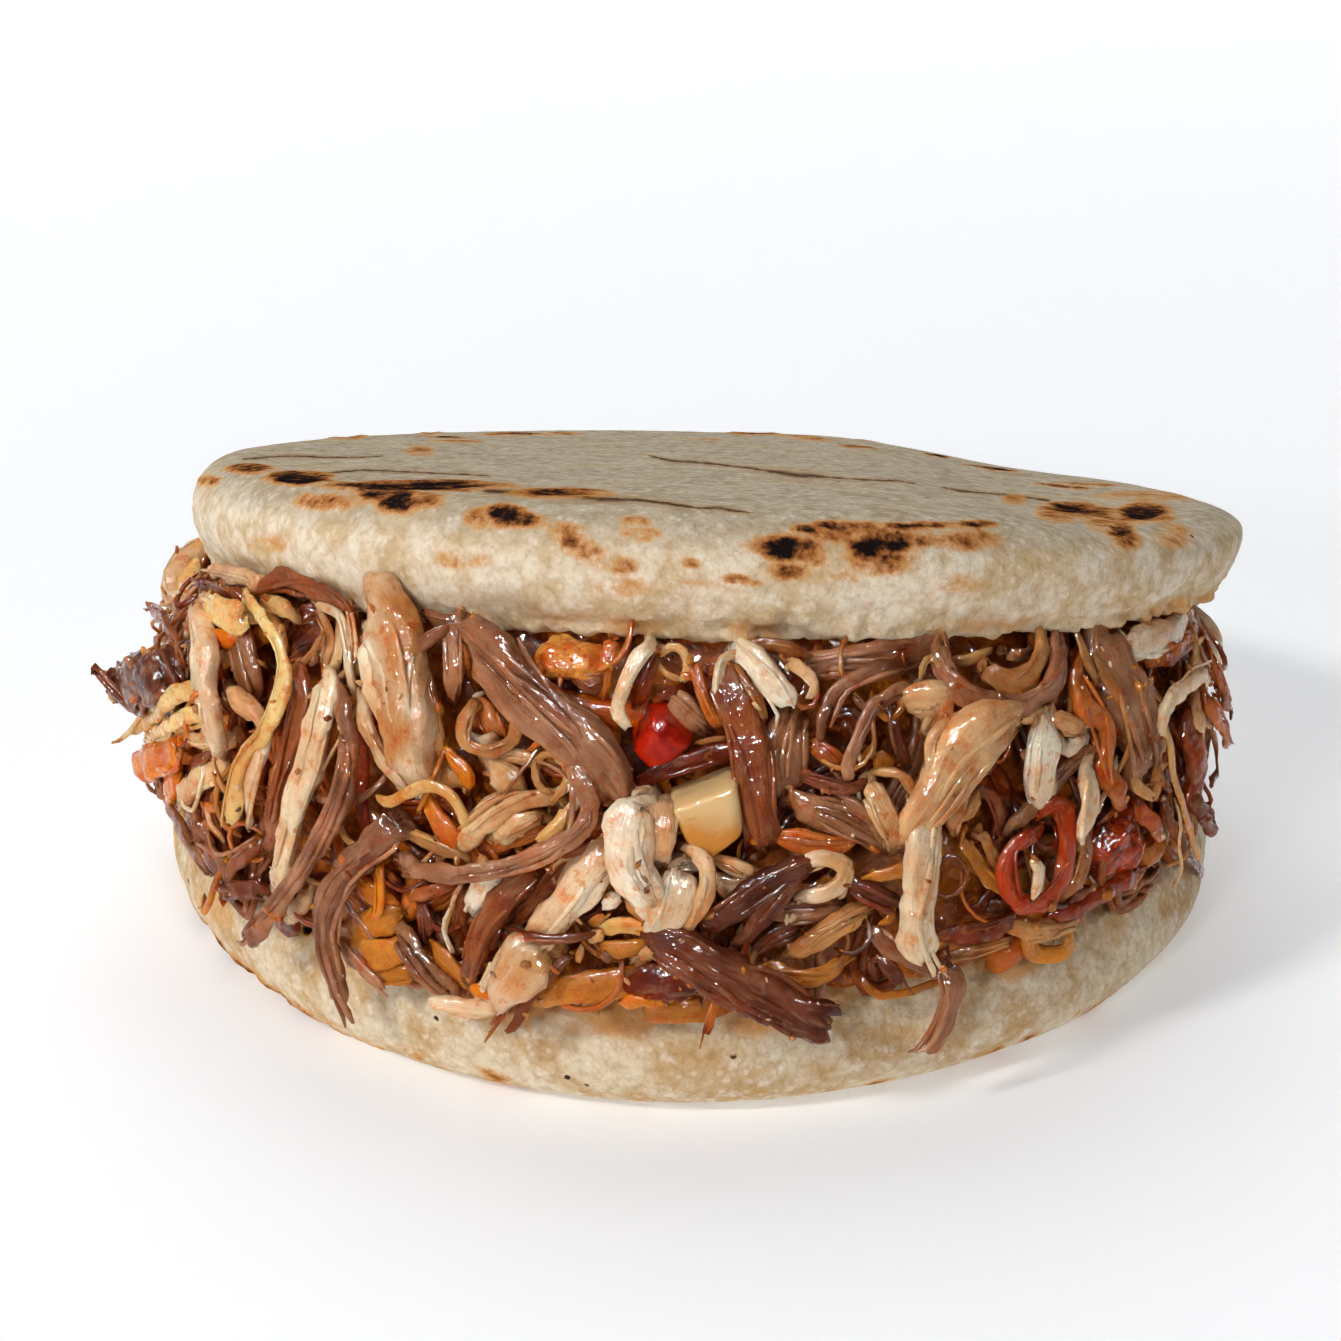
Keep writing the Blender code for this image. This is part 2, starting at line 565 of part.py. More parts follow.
def tube(line, widths, flatness, sides):
    """Points and faces of a flattened tube with pointed ends, facing out of the filling."""
    points = []
    last = len(line) - 1
    for index, (centre, width) in enumerate(zip(line, widths)):
        along = (line[min(index + 1, last)] - line[max(index - 1, 0)]).normalized()
        across = along.cross(Vector((centre.x, centre.y, 0.0))).normalized()
        out = across.cross(along).normalized()
        thick = min(width * flatness, THICKEST)
        for side in range(sides):
            turn = math.tau * side / sides
            points.append(centre + across * (width / 2 * math.cos(turn)) + out * (thick / 2 * math.sin(turn)))
    head = line[0] + (line[0] - line[1]).normalized() * widths[0] * 0.25
    tail = line[-1] + (line[-1] - line[-2]).normalized() * widths[-1] * 0.25
    return [head, *points, tail], ring_faces(len(line), sides)


def front_shreds():
    """The larger of the shreds that show, as tubes with one ring at each point."""
    found = []
    for kind, lift, free, *spots in SHREDS:
        line, widths = [], []
        for index, (x, y, width) in enumerate(spots):
            tucked = (index == 0 and "<" not in free) or (index == len(spots) - 1 and ">" not in free)
            point, scale = seen(x, y, -TUCKED_DEPTH if tucked else lift)
            line.append(point)
            widths.append(width * scale)
        found.append(tube(line, widths, FLATNESS[kind], 5 if max(widths) > 4 else 4))
    return found


def back_shreds():
    """Shreds round the sides and back, which follow a rule: mostly level in the narrow gap, some hanging out."""
    draw = random.Random(SHRED_SEED)
    found = []
    for index in range(BACK_SHREDS):
        azimuth = BACK_FROM + (BACK_TO - BACK_FROM) * (index + draw.uniform(0.1, 0.9)) / BACK_SHREDS
        floor, top = LOWER_THICK + 1.5, filling_top(azimuth) - 1.5
        height = draw.uniform(floor, top)
        turn = draw.uniform(8, 17) * draw.choice((-1, 1))
        hangs = draw.random() < HANGING_SHARE
        end = draw.uniform(7.0, 10.0) if hangs else draw.uniform(floor, top)
        turn *= 0.35 if hangs else 1.0
        lift = draw.uniform(0.4, 2.2)
        width = draw.uniform(2.8, 4.0) if hangs else draw.uniform(3.2, 6.5)
        line = []
        for step in range(4):
            share = step / 3
            drop = -TUCKED_DEPTH if step == 0 or (step == 3 and not hangs) else lift
            rise = height + (end - height) * share + 1.2 * math.sin(math.pi * share)
            line.append(surface(azimuth + turn * share, rise, drop))
        widths = [width * share for share in (0.7, 1.0, 1.0, 0.6)]
        found.append(tube(line, widths, 0.55, 4))
    return found


def core_shape():
    """The packed middle of the filling, between the two cut faces."""
    points = [(0.0, 0.0, ceiling(0, 0) - CORE_GAP)]
    for level in range(CORE_LEVELS):
        share = 1 - level / (CORE_LEVELS - 1)
        for column in range(CORE_COLUMNS):
            azimuth = 360 * column / CORE_COLUMNS
            height = LOWER_THICK + (filling_top(azimuth) - LOWER_THICK) * share
            lump = 0.9 * noise.noise(Vector((*around(azimuth, 6.0), height / 6)))
            point = surface(azimuth, height, lump - CORE_DEPTH)
            point.z = min(max(height, LOWER_THICK + CORE_GAP), ceiling(point.x, point.y) - CORE_GAP)
            points.append(point)
    points.append((0.0, 0.0, LOWER_THICK + CORE_GAP))
    return points, ring_faces(CORE_LEVELS, CORE_COLUMNS)


def outward_facing(obj):
    """Turns the faces outwards."""
    shape = bmesh.new()
    shape.from_mesh(obj.data)
    bmesh.ops.recalc_face_normals(shape, faces=shape.faces)
    if shape.calc_volume(signed=True) < 0:
        bmesh.ops.reverse_faces(shape, faces=shape.faces)
    shape.to_mesh(obj.data)
    shape.free()


def boolean(obj, others, operation):
    """Joins the others to obj or cuts them from it, applies it, and removes them."""
    group = bpy.data.collections.new("operands")
    bpy.context.scene.collection.children.link(group)
    for other in others:
        bpy.context.scene.collection.objects.unlink(other)
        group.objects.link(other)
    step = obj.modifiers.new(operation.lower(), "BOOLEAN")
    step.operation = operation
    step.operand_type = "COLLECTION"
    step.collection = group
    step.solver = "MANIFOLD"
    bpy.context.view_layer.update()
    graph = bpy.context.evaluated_depsgraph_get()
    made = bpy.data.meshes.new_from_object(obj.evaluated_get(graph), depsgraph=graph)
    obj.modifiers.clear()
    obj.data = made
    for other in others:
        bpy.data.objects.remove(other)
    bpy.data.collections.remove(group)


def keep_largest(obj):
    """Keeps the largest closed body, so loose scraps go and sealed hollows fill."""
    shape = bmesh.new()
    shape.from_mesh(obj.data)
    left, islands = set(shape.verts), []
    while left:
        front = [left.pop()]
        island = list(front)
        while front:
            vert = front.pop()
            near = {edge.other_vert(vert) for edge in vert.link_edges} & left
            left -= near
            front.extend(near)
            island.extend(near)
        islands.append(island)
    islands.sort(key=len)
    bmesh.ops.delete(shape, geom=[v for island in islands[:-1] for v in island], context="VERTS")
    in_line = [vert for vert in shape.verts if len(vert.link_edges) == 2]
    bmesh.ops.dissolve_verts(shape, verts=in_line)
    bmesh.ops.triangulate(shape, faces=shape.faces)
    print("filling has", len(shape.faces), "triangles")
    shape.to_mesh(obj.data)
    shape.free()


def lump_shape(width, tall, deep, seed, rough):
    """Points and faces of a lumpy chunk of the stated size."""
    shape = bmesh.new()
    bmesh.ops.create_icosphere(shape, subdivisions=2, radius=1.0)
    for vert in shape.verts:
        vert.co *= 1 + rough * noise.noise(vert.co * 2.1 + Vector((seed, 0, 0)))
    points = [(v.co.x * width / 2, v.co.y * deep / 2, v.co.z * tall / 2) for v in shape.verts]
    faces = [[v.index for v in face.verts] for face in shape.faces]
    shape.free()
    return points, faces


def sauced_shape(width, tall, deep):
    return lump_shape(width, tall, deep, 2.0, 0.35)


def tomato_shape(width, tall, deep):
    return lump_shape(width, tall, deep, 7.0, 0.25)


def wedge_shape(rim, ridge, width, tall, deep, inset):
    """A faceted piece: a rim at the back, the same rim smaller in front, and a ridge standing out of it."""
    back = [(x * width, deep / 2, z * tall) for x, z in rim]
    front = [(x * width * inset, -deep / 2 + 0.9, z * tall * inset) for x, z in rim]
    peak = [(x * width, -deep / 2, z * tall) for x, z in ridge]
    return back + front + peak


def pepper_shape(width, tall, deep):
    """A diced pepper piece, seen as a kite with a ridge down its front."""
    rim = ((-0.5, -0.12), (-0.16, 0.5), (0.08, 0.47), (0.5, -0.02), (0.3, -0.26), (-0.16, -0.5))
    ridge = ((-0.02, 0.2), (0.06, -0.16))
    points = wedge_shape(rim, ridge, width, tall, deep, 0.84)
    sides = [(i, (i + 1) % 6, 6 + (i + 1) % 6, 6 + i) for i in range(6)]
    face = [(6, 7, 12), (7, 8, 12), (8, 9, 12), (9, 13, 12), (9, 10, 13), (10, 11, 13), (11, 6, 13), (6, 12, 13)]
    return points, [(0, 5, 4, 3, 2, 1), *sides, *face]


def cube_shape(width, tall, deep):
    """A cut cube with a pointed lower end and a slanting top."""
    rim = ((-0.5, 0.18), (0.4, 0.5), (0.5, -0.18), (0.06, -0.5), (-0.3, -0.26))
    count = len(rim)
    back = [(x * width, deep / 2, z * tall) for x, z in rim]
    front = [(x * width * 0.94, -deep / 2, z * tall * 0.94) for x, z in rim]
    sides = [(i, (i + 1) % count, count + (i + 1) % count, count + i) for i in range(count)]
    return back + front, [tuple(reversed(range(count))), tuple(range(count, 2 * count)), *sides]


# name, place, shape and finish of each diced piece
DICED = (
    ("red_pepper", PEPPER, pepper_shape, "red_pepper"),
    ("root_cube", CUBE, cube_shape, "root_vegetable"),
    ("sauced_chunk", SAUCED, sauced_shape, "sauced_meat"),
    ("roast_tomato", TOMATO, tomato_shape, "roast_tomato"),
)


def make_piece(name, place, shape, finish, grow=0.0):
    """A diced piece set in the filling with its -Y side facing out, or its cutter when grown."""
    x, y, lift, width, tall, deep = place
    centre, _ = seen(x, y, lift)
    turn = Matrix.Rotation(math.atan2(centre.x, -centre.y), 4, "Z")
    more = 2 * grow
    points, faces = shape(width + more, tall + more, deep + more)
    where = Matrix.Translation(centre) @ turn
    obj = mesh_object(name, [where @ Vector(p) for p in points], faces, finish)
    outward_facing(obj)
    return obj


def make_filling():
    """The heap of shreds as one solid, clear of the bread and of the diced pieces."""
    filling = mesh_object("filling", *core_shape(), "shredded_meat")
    outward_facing(filling)
    shreds = []
    for index, shape in enumerate([*front_shreds(), *back_shreds()]):
        shreds.append(mesh_object(f"shred_{index}", *shape, "shredded_meat"))
        outward_facing(shreds[-1])
    boolean(filling, shreds, "UNION")
    cutters = [make_lower("lower_gap", GAP), make_upper("upper_gap", GAP)]
    cutters += [make_piece(f"{name}_gap", place, shape, finish, GAP) for name, place, shape, finish in DICED]
    boolean(filling, cutters, "DIFFERENCE")
    keep_largest(filling)


def main():
    clear_scene()
    make_lower()
    make_upper()
    for name, place, shape, finish in DICED:
        make_piece(name, place, shape, finish)
    make_filling()


main()
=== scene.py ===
"""The looks of a filled arepa: two griddled corn-cake halves with wet shredded meat heaped between them.

Every length of a shape is in millimetres and becomes metres where its mesh is made; the lights are placed in
metres. The shapes of the two halves and of the filling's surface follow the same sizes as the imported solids,
which the pieces here replace.
"""

import math

import bmesh
import bpy
import numpy as np
from mathutils import Euler, Matrix, Vector, noise


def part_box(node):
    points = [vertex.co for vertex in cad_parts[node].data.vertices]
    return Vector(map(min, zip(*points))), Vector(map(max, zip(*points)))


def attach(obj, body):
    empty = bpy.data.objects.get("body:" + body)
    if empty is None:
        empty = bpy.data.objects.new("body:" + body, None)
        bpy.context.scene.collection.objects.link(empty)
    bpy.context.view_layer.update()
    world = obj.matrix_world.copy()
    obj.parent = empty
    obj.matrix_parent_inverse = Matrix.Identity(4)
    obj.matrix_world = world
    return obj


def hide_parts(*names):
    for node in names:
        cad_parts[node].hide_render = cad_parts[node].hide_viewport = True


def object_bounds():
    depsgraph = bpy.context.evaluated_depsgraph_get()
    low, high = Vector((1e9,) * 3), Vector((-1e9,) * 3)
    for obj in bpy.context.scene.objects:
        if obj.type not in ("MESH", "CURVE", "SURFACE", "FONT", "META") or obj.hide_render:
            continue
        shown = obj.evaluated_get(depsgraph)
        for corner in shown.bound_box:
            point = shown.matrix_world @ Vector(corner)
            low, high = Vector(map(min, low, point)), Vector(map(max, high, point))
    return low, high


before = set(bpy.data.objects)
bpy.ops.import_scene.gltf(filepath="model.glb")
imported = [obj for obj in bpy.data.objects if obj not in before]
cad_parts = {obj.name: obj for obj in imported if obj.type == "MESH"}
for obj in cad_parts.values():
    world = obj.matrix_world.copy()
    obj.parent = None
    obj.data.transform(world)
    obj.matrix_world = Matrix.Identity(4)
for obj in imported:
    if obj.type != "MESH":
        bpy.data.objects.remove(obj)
CAD_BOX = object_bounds()

MM = 0.001

# Lower half
LOWER_RADIUS = 57.5
LOWER_THICK = 13.0

# Upper half, which leans back about X and a little to the right about Y
UPPER_RADIUS = 55.7
UPPER_THICK = 11.5
UPPER_CENTRE = Vector((3.4, 0.0, 40.4))
UPPER_LEAN = math.radians(13.7)
UPPER_ROLL = math.radians(1.4)

# Both halves
SHOULDER_INSET = 5.5
CUT_INSET = 2.6
LIP_ROUND = 0.9
WIDEST_SHARE = 0.56
OUTLINE_WOBBLE = 0.9
OUTLINE_RIPPLE = 0.35
RELIEF = 0.28
TORN_EDGE = 0.55
LOWER_FLATS = ((-42, 1.7, 26), (-62, 0.8, 16))
UPPER_FLATS = ((-88, -0.5, 20),)
SINK_DEPTH = 2.7
SINK_FROM = 12.0
SINK_TO = 42.0
LOWER_SEED = 3.0
UPPER_SEED = 8.0

# Burnt marks: relief in millimetres, and the marks on the skin's far side
BURN_RIM = 0.22
BURN_SUNK = 0.34
FAR_MARKS = 15
FAR_MARKS_SEED = 17
FAR_MARKS_AZIMUTHS = (105, 255)

# How finely the halves are meshed
CAP_CELLS = 160
SIDE_COLUMNS = 4 * CAP_CELLS
SHOULDER_RINGS = 18
BELLY_RINGS = 20
LIP_RINGS = 4
CUT_RINGS = 14
GRAIN_SIZE = 1.5
CRUMB_SIZE = 1.35

# Filling
FRONT_REACH = 57.9
TOP_TUCK = 5.4
BACK_TUCK = 2.2
PAST_TOP = 1.1
TUCKED_DEPTH = 3.6
THICKEST = 4.6

# The viewpoint. Picture positions are in pixels of a picture this many pixels wide and high.
PICTURE_SIZE = 1341
PICTURE_MIDDLE = PICTURE_SIZE / 2
PICTURE_FOCUS = 2599.0
EYE = Vector((-1.6, -265.0, 133.7))
EYE_DROP = math.radians(22.8)
SENSOR = 36.0
SIGHT_NEAR = 195.0
SIGHT_FAR = 300.0
SIGHT_STEP = 1.5
SIGHT_HALVINGS = 10

# Burnt marks on the upper half's skin: picture position, half width and half height in pixels, how burnt
BURNS = (
    (297, 477, 24, 5, 1.0), (250, 468, 17, 4, 0.85), (209, 480, 10, 4, 0.6), (415, 485, 66, 4, 1.0),
    (398, 499, 15, 12, 1.0), (384, 492, 28, 8, 0.82), (330, 501, 26, 7, 0.6), (425, 500, 17, 7, 0.66),
    (503, 512, 16, 7, 1.0), (515, 519, 22, 6, 0.7), (478, 517, 11, 8, 0.5), (342, 433, 18, 4, 1.0),
    (429, 430, 9, 3, 0.8), (420, 450, 12, 4, 0.46), (560, 493, 36, 4, 0.8), (573, 542, 14, 7, 0.74),
    (565, 530, 15, 6, 0.5), (590, 553, 14, 6, 0.45), (616, 566, 16, 7, 0.42), (634, 521, 11, 4, 0.62),
    (640, 534, 15, 6, 0.4), (690, 564, 9, 4, 0.42), (738, 578, 12, 4, 0.62), (752, 583, 8, 3, 0.5),
    (783, 547, 28, 8, 1.0), (792, 553, 20, 7, 0.85), (789, 572, 15, 7, 0.6), (815, 558, 12, 7, 0.42),
    (840, 578, 16, 6, 0.36), (806, 529, 10, 4, 0.85), (846, 526, 25, 5, 0.9), (830, 534, 27, 6, 0.6),
    (880, 536, 34, 6, 0.6), (872, 546, 17, 8, 1.0), (897, 544, 15, 6, 1.0), (882, 557, 25, 8, 0.68),
    (880, 567, 22, 7, 0.45), (915, 525, 30, 3, 0.88), (926, 540, 26, 6, 0.62), (975, 524, 17, 3, 0.85),
    (966, 540, 25, 8, 0.5), (1070, 508, 21, 5, 1.0), (1095, 512, 15, 5, 0.76), (1060, 513, 16, 7, 0.55),
    (1121, 530, 10, 7, 0.84), (1127, 541, 11, 8, 0.6), (1105, 522, 15, 7, 0.5), (1143, 512, 18, 7, 1.0),
    (1163, 516, 8, 5, 0.6), (1015, 499, 9, 4, 0.5), (1175, 536, 15, 10, 0.34), (1150, 495, 40, 5, 0.32),
    (1200, 487, 15, 3, 0.5), (620, 590, 30, 9, 0.26), (700, 590, 26, 8, 0.24), (1180, 590, 30, 10, 0.34),
    (460, 560, 24, 8, 0.26), (960, 585, 20, 9, 0.24), (270, 545, 20, 8, 0.22), (1215, 575, 14, 9, 0.36),
)

# Thin dark lines baked into the upper half's skin: picture positions with the line's half height in pixels
CRACKS = (
    ((650, 456, 1.0), (672, 461, 1.8), (705, 463, 1.4), (740, 467, 1.2), (770, 471, 1.8), (795, 475, 3.6),
     (828, 477, 1.8), (850, 479, 1.0), (900, 481, 1.4), (918, 484, 0.6)),
    ((485, 491, 3.0), (540, 493, 3.4), (575, 495, 4.2), (600, 499, 3.4), (640, 500, 1.8), (670, 504, 2.4),
     (700, 508, 1.4), (720, 508, 2.0), (735, 511, 2.0), (750, 513, 0.8)),
    ((940, 487, 0.6), (960, 491, 1.4), (985, 493, 0.8), (1016, 496, 1.2), (1032, 498, 1.6), (1052, 501, 0.8)),
    ((243, 459, 0.8), (290, 456, 1.2), (350, 458, 1.0), (384, 456, 0.6)),
    ((310, 474, 0.8), (365, 470, 1.4), (430, 473, 1.2), (492, 476, 0.6)),
)

# A small burnt hole in the lower half's side: picture position and half size in pixels
SIDE_HOLE = (307, 929, 6)

# The shreds that show, as read off the photograph: kind, lift off the filling's surface in
# millimetres, free ends (">" its last, "<" its first, "<>" both, "-" neither), and points along it as
# (x, y, width) in pixels
SHREDS = (
    ("dark", 3.5, ">", (174, 672, 50), (150, 678, 52), (125, 686, 42), (98, 691, 18)),
    ("brown", 3.0, ">", (183, 662, 13), (176, 640, 14), (165, 622, 14), (152, 608, 13), (146, 603, 10)),
    ("fat", 2.5, "-", (163, 650, 8), (150, 672, 10), (147, 695, 11), (150, 722, 10)),
    ("gray", 1.0, "-", (172, 660, 26), (176, 680, 30), (172, 698, 20)),
    ("yellow", 2.5, ">", (206, 688, 18), (180, 694, 20), (158, 711, 16), (140, 726, 12), (122, 738, 5)),
    ("yellow", 1.6, "-", (207, 712, 18), (182, 720, 18), (156, 733, 14), (146, 742, 8)),
    ("orange", 2.4, ">", (186, 750, 28), (168, 756, 34), (148, 762, 34), (134, 768, 20)),
    ("orange", 1.6, "-", (180, 768, 18), (172, 784, 22), (170, 800, 14)),
    ("chicken", 3.0, "-", (200, 622, 16), (205, 650, 40), (208, 680, 36), (213, 712, 19), (218, 745, 8)),
    ("yellow", 3.2, "-", (212, 611, 26), (232, 617, 34), (248, 612, 22)),
    ("orange", 2.0, "-", (204, 632, 14), (224, 639, 18), (240, 640, 12)),
    ("gray", 0.8, "-", (242, 628, 30), (247, 655, 44), (250, 682, 34)),
    ("peach", 1.0, "-", (235, 694, 24), (250, 708, 26), (262, 722, 14)),
    ("chicken", 2.0, "<", (207, 571, 9), (225, 573, 12), (245, 579, 18), (264, 588, 20)),
    ("brown", 2.0, "<", (196, 584, 7), (212, 588, 11), (232, 592, 14), (247, 599, 12)),
    ("yellow", 2.0, "-", (213, 592, 9), (202, 605, 9), (192, 620, 9), (188, 634, 10)),
    (
        "yellow", 3.8, ">",
        (248, 600, 14), (266, 622, 12), (279, 650, 11), (284, 676, 10), (278, 706, 11), (264, 730, 12),
        (248, 751, 14), (238, 774, 18), (234, 802, 20), (228, 828, 12),
    ),
    ("white", 3.0, "-", (272, 728, 8), (264, 748, 14), (256, 772, 16), (250, 796, 14), (250, 820, 6)),
    (
        "brown", 1.6, "-",
        (258, 594, 10), (272, 582, 12), (290, 579, 16), (315, 590, 22), (338, 600, 18), (352, 615, 14),
    ),
    ("fat", 0.8, "-", (265, 602, 16), (280, 606, 22), (292, 614, 18)),
    ("fat", 0.4, "-", (270, 614, 16), (276, 632, 18), (282, 648, 14)),
    ("deep", -1.6, "-", (290, 640, 24), (303, 622, 26), (322, 615, 20)),
    ("deep", -1.2, "-", (296, 655, 22), (312, 641, 26), (334, 636, 22)),
    ("brown", -1.2, "-", (294, 672, 22), (316, 662, 24), (338, 655, 20)),
    ("peach", 0.0, "-", (320, 616, 10), (331, 638, 13), (327, 662, 10)),
    ("peach", 0.2, "-", (339, 622, 10), (339, 648, 11), (332, 675, 10)),
    ("chicken", 1.6, "-", (320, 605, 8), (338, 614, 10), (345, 640, 10), (350, 668, 8), (353, 690, 7)),
    ("peach", 1.0, "-", (351, 604, 10), (354, 635, 10), (356, 672, 9)),
    (
        "brown", 2.2, "-",
        (304, 672, 16), (301, 700, 21), (295, 727, 25), (287, 757, 22), (280, 787, 18), (275, 817, 14),
        (271, 845, 11),
    ),
    (
        "chicken", 2.8, "-",
        (334, 680, 12), (322, 710, 22), (313, 742, 33), (306, 774, 33), (296, 806, 27), (288, 838, 22),
        (282, 866, 15), (279, 888, 6),
    ),
    (
        "beef", 3.4, ">",
        (341, 690, 16), (344, 716, 21), (347, 745, 20), (346, 774, 20), (338, 804, 22), (327, 834, 17),
        (312, 856, 14), (298, 876, 12), (284, 896, 13), (270, 913, 16), (260, 930, 17), (247, 941, 9),
    ),
    ("chicken", 2.4, "-", (362, 700, 16), (364, 722, 20), (374, 746, 19), (390, 770, 16), (402, 786, 8)),
    ("peach", 1.6, "-", (188, 738, 16), (214, 744, 18), (236, 736, 18)),
    ("brown", 1.4, "-", (190, 765, 14), (210, 756, 14), (224, 748, 10)),
    ("peach", 1.4, "-", (184, 796, 18), (204, 776, 25), (228, 764, 18)),
    ("gray", 1.4, "-", (170, 802, 16), (180, 826, 22), (192, 848, 20), (208, 864, 14)),
    ("beef", 1.6, "-", (203, 852, 20), (220, 868, 22), (236, 886, 16)),
    ("dark", 1.8, "-", (228, 890, 16), (247, 889, 22), (265, 890, 16)),
    ("brown", 0.6, "-", (192, 802, 18), (199, 824, 26), (210, 846, 22)),
    ("orange", 1.4, "-", (206, 806, 10), (216, 808, 13), (226, 806, 8)),
    ("peach", 1.6, "-", (206, 806, 7), (212, 826, 8), (223, 840, 7)),
    ("brown", 2.0, ">", (264, 841, 13), (247, 854, 15), (233, 871, 14), (226, 884, 8)),
    ("peach", 1.2, "-", (291, 914, 12), (300, 901, 18), (312, 888, 12)),
    (
        "beef", 3.4, ">",
        (398, 822, 36), (380, 838, 28), (360, 857, 20), (343, 876, 18), (331, 898, 20), (325, 924, 22),
        (327, 950, 22), (334, 973, 20), (342, 996, 23), (350, 1013, 18),
    ),
    ("beef", 2.0, ">", (341, 944, 10), (354, 960, 12), (368, 976, 14), (384, 990, 10)),
    ("orange", 1.0, "-", (360, 882, 18), (372, 894, 28), (390, 906, 18)),
    ("onion", 1.2, "-", (344, 938, 26), (370, 928, 32), (398, 914, 24)),
    ("onion", 1.4, "-", (362, 954, 26), (388, 956, 30), (408, 944, 20)),
    ("onion", 1.0, "-", (370, 972, 20), (394, 978, 24), (414, 970, 14)),
    ("orange", 1.8, "-", (382, 866, 10), (380, 892, 13), (376, 922, 8)),
    ("brown", 1.6, "-", (312, 850, 5), (330, 861, 6), (347, 866, 5)),
    ("fat", 1.4, "-", (304, 878, 4), (320, 884, 6), (340, 890, 4)),
    ("fat", 1.4, "-", (338, 818, 6), (344, 836, 7), (358, 846, 8), (374, 842, 7)),
    (
        "chicken", 3.0, "-",
        (383, 604, 36), (391, 625, 64), (398, 650, 58), (402, 680, 50), (406, 710, 44), (409, 740, 38),
        (416, 770, 24),
    ),
    ("chicken", 3.2, "-", (370, 636, 20), (369, 668, 26), (378, 696, 20), (390, 722, 14)),
    ("tan", 1.8, "-", (414, 652, 20), (424, 690, 24), (430, 725, 24), (434, 758, 14)),
    ("beef", 3.6, "-", (411, 650, 13), (427, 641, 14), (441, 633, 12), (454, 628, 8)),
    ("beef", 1.6, "-", (430, 616, 16), (447, 622, 18), (462, 616, 12)),
    ("beef", 2.6, "-", (460, 618, 13), (453, 640, 21), (454, 662, 20), (453, 682, 10), (451, 694, 5)),
    (
        "beef", 3.4, "-",
        (478, 638, 42), (499, 662, 58), (526, 690, 52), (556, 718, 50), (585, 744, 48), (604, 766, 38),
        (610, 788, 24),
    ),
    ("dark", 0.6, "-", (461, 676, 12), (468, 690, 13), (480, 702, 10)),
    (
        "tan", 2.6, "-",
        (518, 702, 10), (519, 722, 12), (510, 742, 14), (490, 752, 15), (470, 748, 15), (460, 735, 13),
        (464, 718, 11), (477, 704, 9),
    ),
    ("stained", 1.4, "-", (481, 706, 14), (487, 724, 24), (500, 732, 18)),
    ("white", 1.8, "-", (468, 732, 8), (480, 741, 12), (496, 739, 9)),
    ("orange", 1.8, ">", (448, 750, 10), (457, 762, 16), (466, 775, 15), (475, 790, 7)),
    ("tan", 1.0, "-", (436, 763, 16), (447, 776, 18), (462, 786, 12)),
    ("white", 1.8, "-", (494, 766, 22), (505, 779, 30), (515, 792, 20)),
    ("peach", 1.4, "-", (500, 757, 12), (520, 755, 18), (538, 762, 12)),
    (
        "tan", 2.8, "-",
        (554, 796, 9), (538, 787, 9), (534, 768, 9), (546, 754, 9), (561, 758, 9), (568, 774, 9),
        (562, 790, 9), (550, 802, 9),
    ),
    (
        "beef", 4.2, "-",
        (568, 758, 14), (582, 784, 16), (590, 808, 18), (582, 828, 20), (562, 843, 18), (535, 855, 16),
        (505, 863, 14), (472, 870, 16), (440, 873, 18), (412, 871, 14),
    ),
    (
        "yellow", 3.4, "<",
        (371, 798, 10), (388, 803, 13), (408, 794, 13), (428, 786, 12), (446, 791, 12), (457, 806, 12),
        (466, 826, 9),
    ),
    ("orange", 1.8, "-", (430, 798, 18), (440, 820, 25), (452, 838, 20), (461, 848, 9)),
    ("deep", 0.2, "-", (400, 812, 20), (420, 816, 26), (440, 810, 16)),
    ("peach", 1.8, "-", (470, 819, 10), (485, 806, 12), (502, 795, 8)),
    ("peach", 2.2, "-", (465, 842, 22), (485, 821, 24), (510, 804, 22), (535, 797, 18), (556, 796, 10)),
    ("peach", 2.0, "-", (498, 840, 18), (515, 826, 24), (538, 816, 18)),
    ("yellow", 3.0, ">", (566, 804, 12), (560, 822, 16), (546, 836, 15), (532, 846, 7)),
    ("chicken", 2.8, "-", (560, 790, 8), (572, 785, 9), (577, 800, 12), (566, 813, 7)),
    ("stained", 1.4, "-", (498, 848, 12), (520, 838, 15), (542, 828, 11)),
    ("tan", 1.6, "-", (400, 835, 16), (420, 838, 18), (442, 848, 16), (462, 857, 11)),
    ("beef", 2.2, "-", (401, 857, 17), (411, 860, 19), (419, 866, 12)),
    ("stained", 1.8, "-", (413, 896, 10), (434, 889, 14), (456, 882, 10)),
    ("white", 2.6, "-", (502, 871, 12), (489, 884, 22), (477, 898, 18), (473, 908, 7)),
    (
        "brown", 3.0, "-",
        (534, 870, 12), (511, 890, 26), (493, 913, 28), (481, 938, 24), (471, 964, 18), (468, 982, 9),
    ),
    ("chicken", 2.6, "-", (610, 846, 22), (590, 872, 38), (568, 900, 38), (548, 926, 34), (532, 946, 22)),
    ("white", 3.0, "-", (544, 942, 32), (524, 962, 52), (508, 981, 38), (496, 998, 18)),
    ("brown", 3.8, "-", (592, 934, 8), (562, 938, 12), (532, 937, 12), (510, 930, 9)),
    ("orange", 3.0, "-", (472, 990, 14), (488, 992, 22), (500, 992, 12)),
    ("chicken", 2.0, ">", (498, 1008, 10), (472, 1007, 18), (446, 1004, 14), (423, 1001, 7)),
    (
        "brown", 3.2, ">",
        (572, 954, 10), (549, 974, 14), (532, 995, 14), (522, 1014, 14), (512, 1028, 10),
        (502, 1033, 6),
    ),
    ("brown", 3.0, ">", (508, 1008, 9), (496, 1019, 9), (489, 1028, 5)),
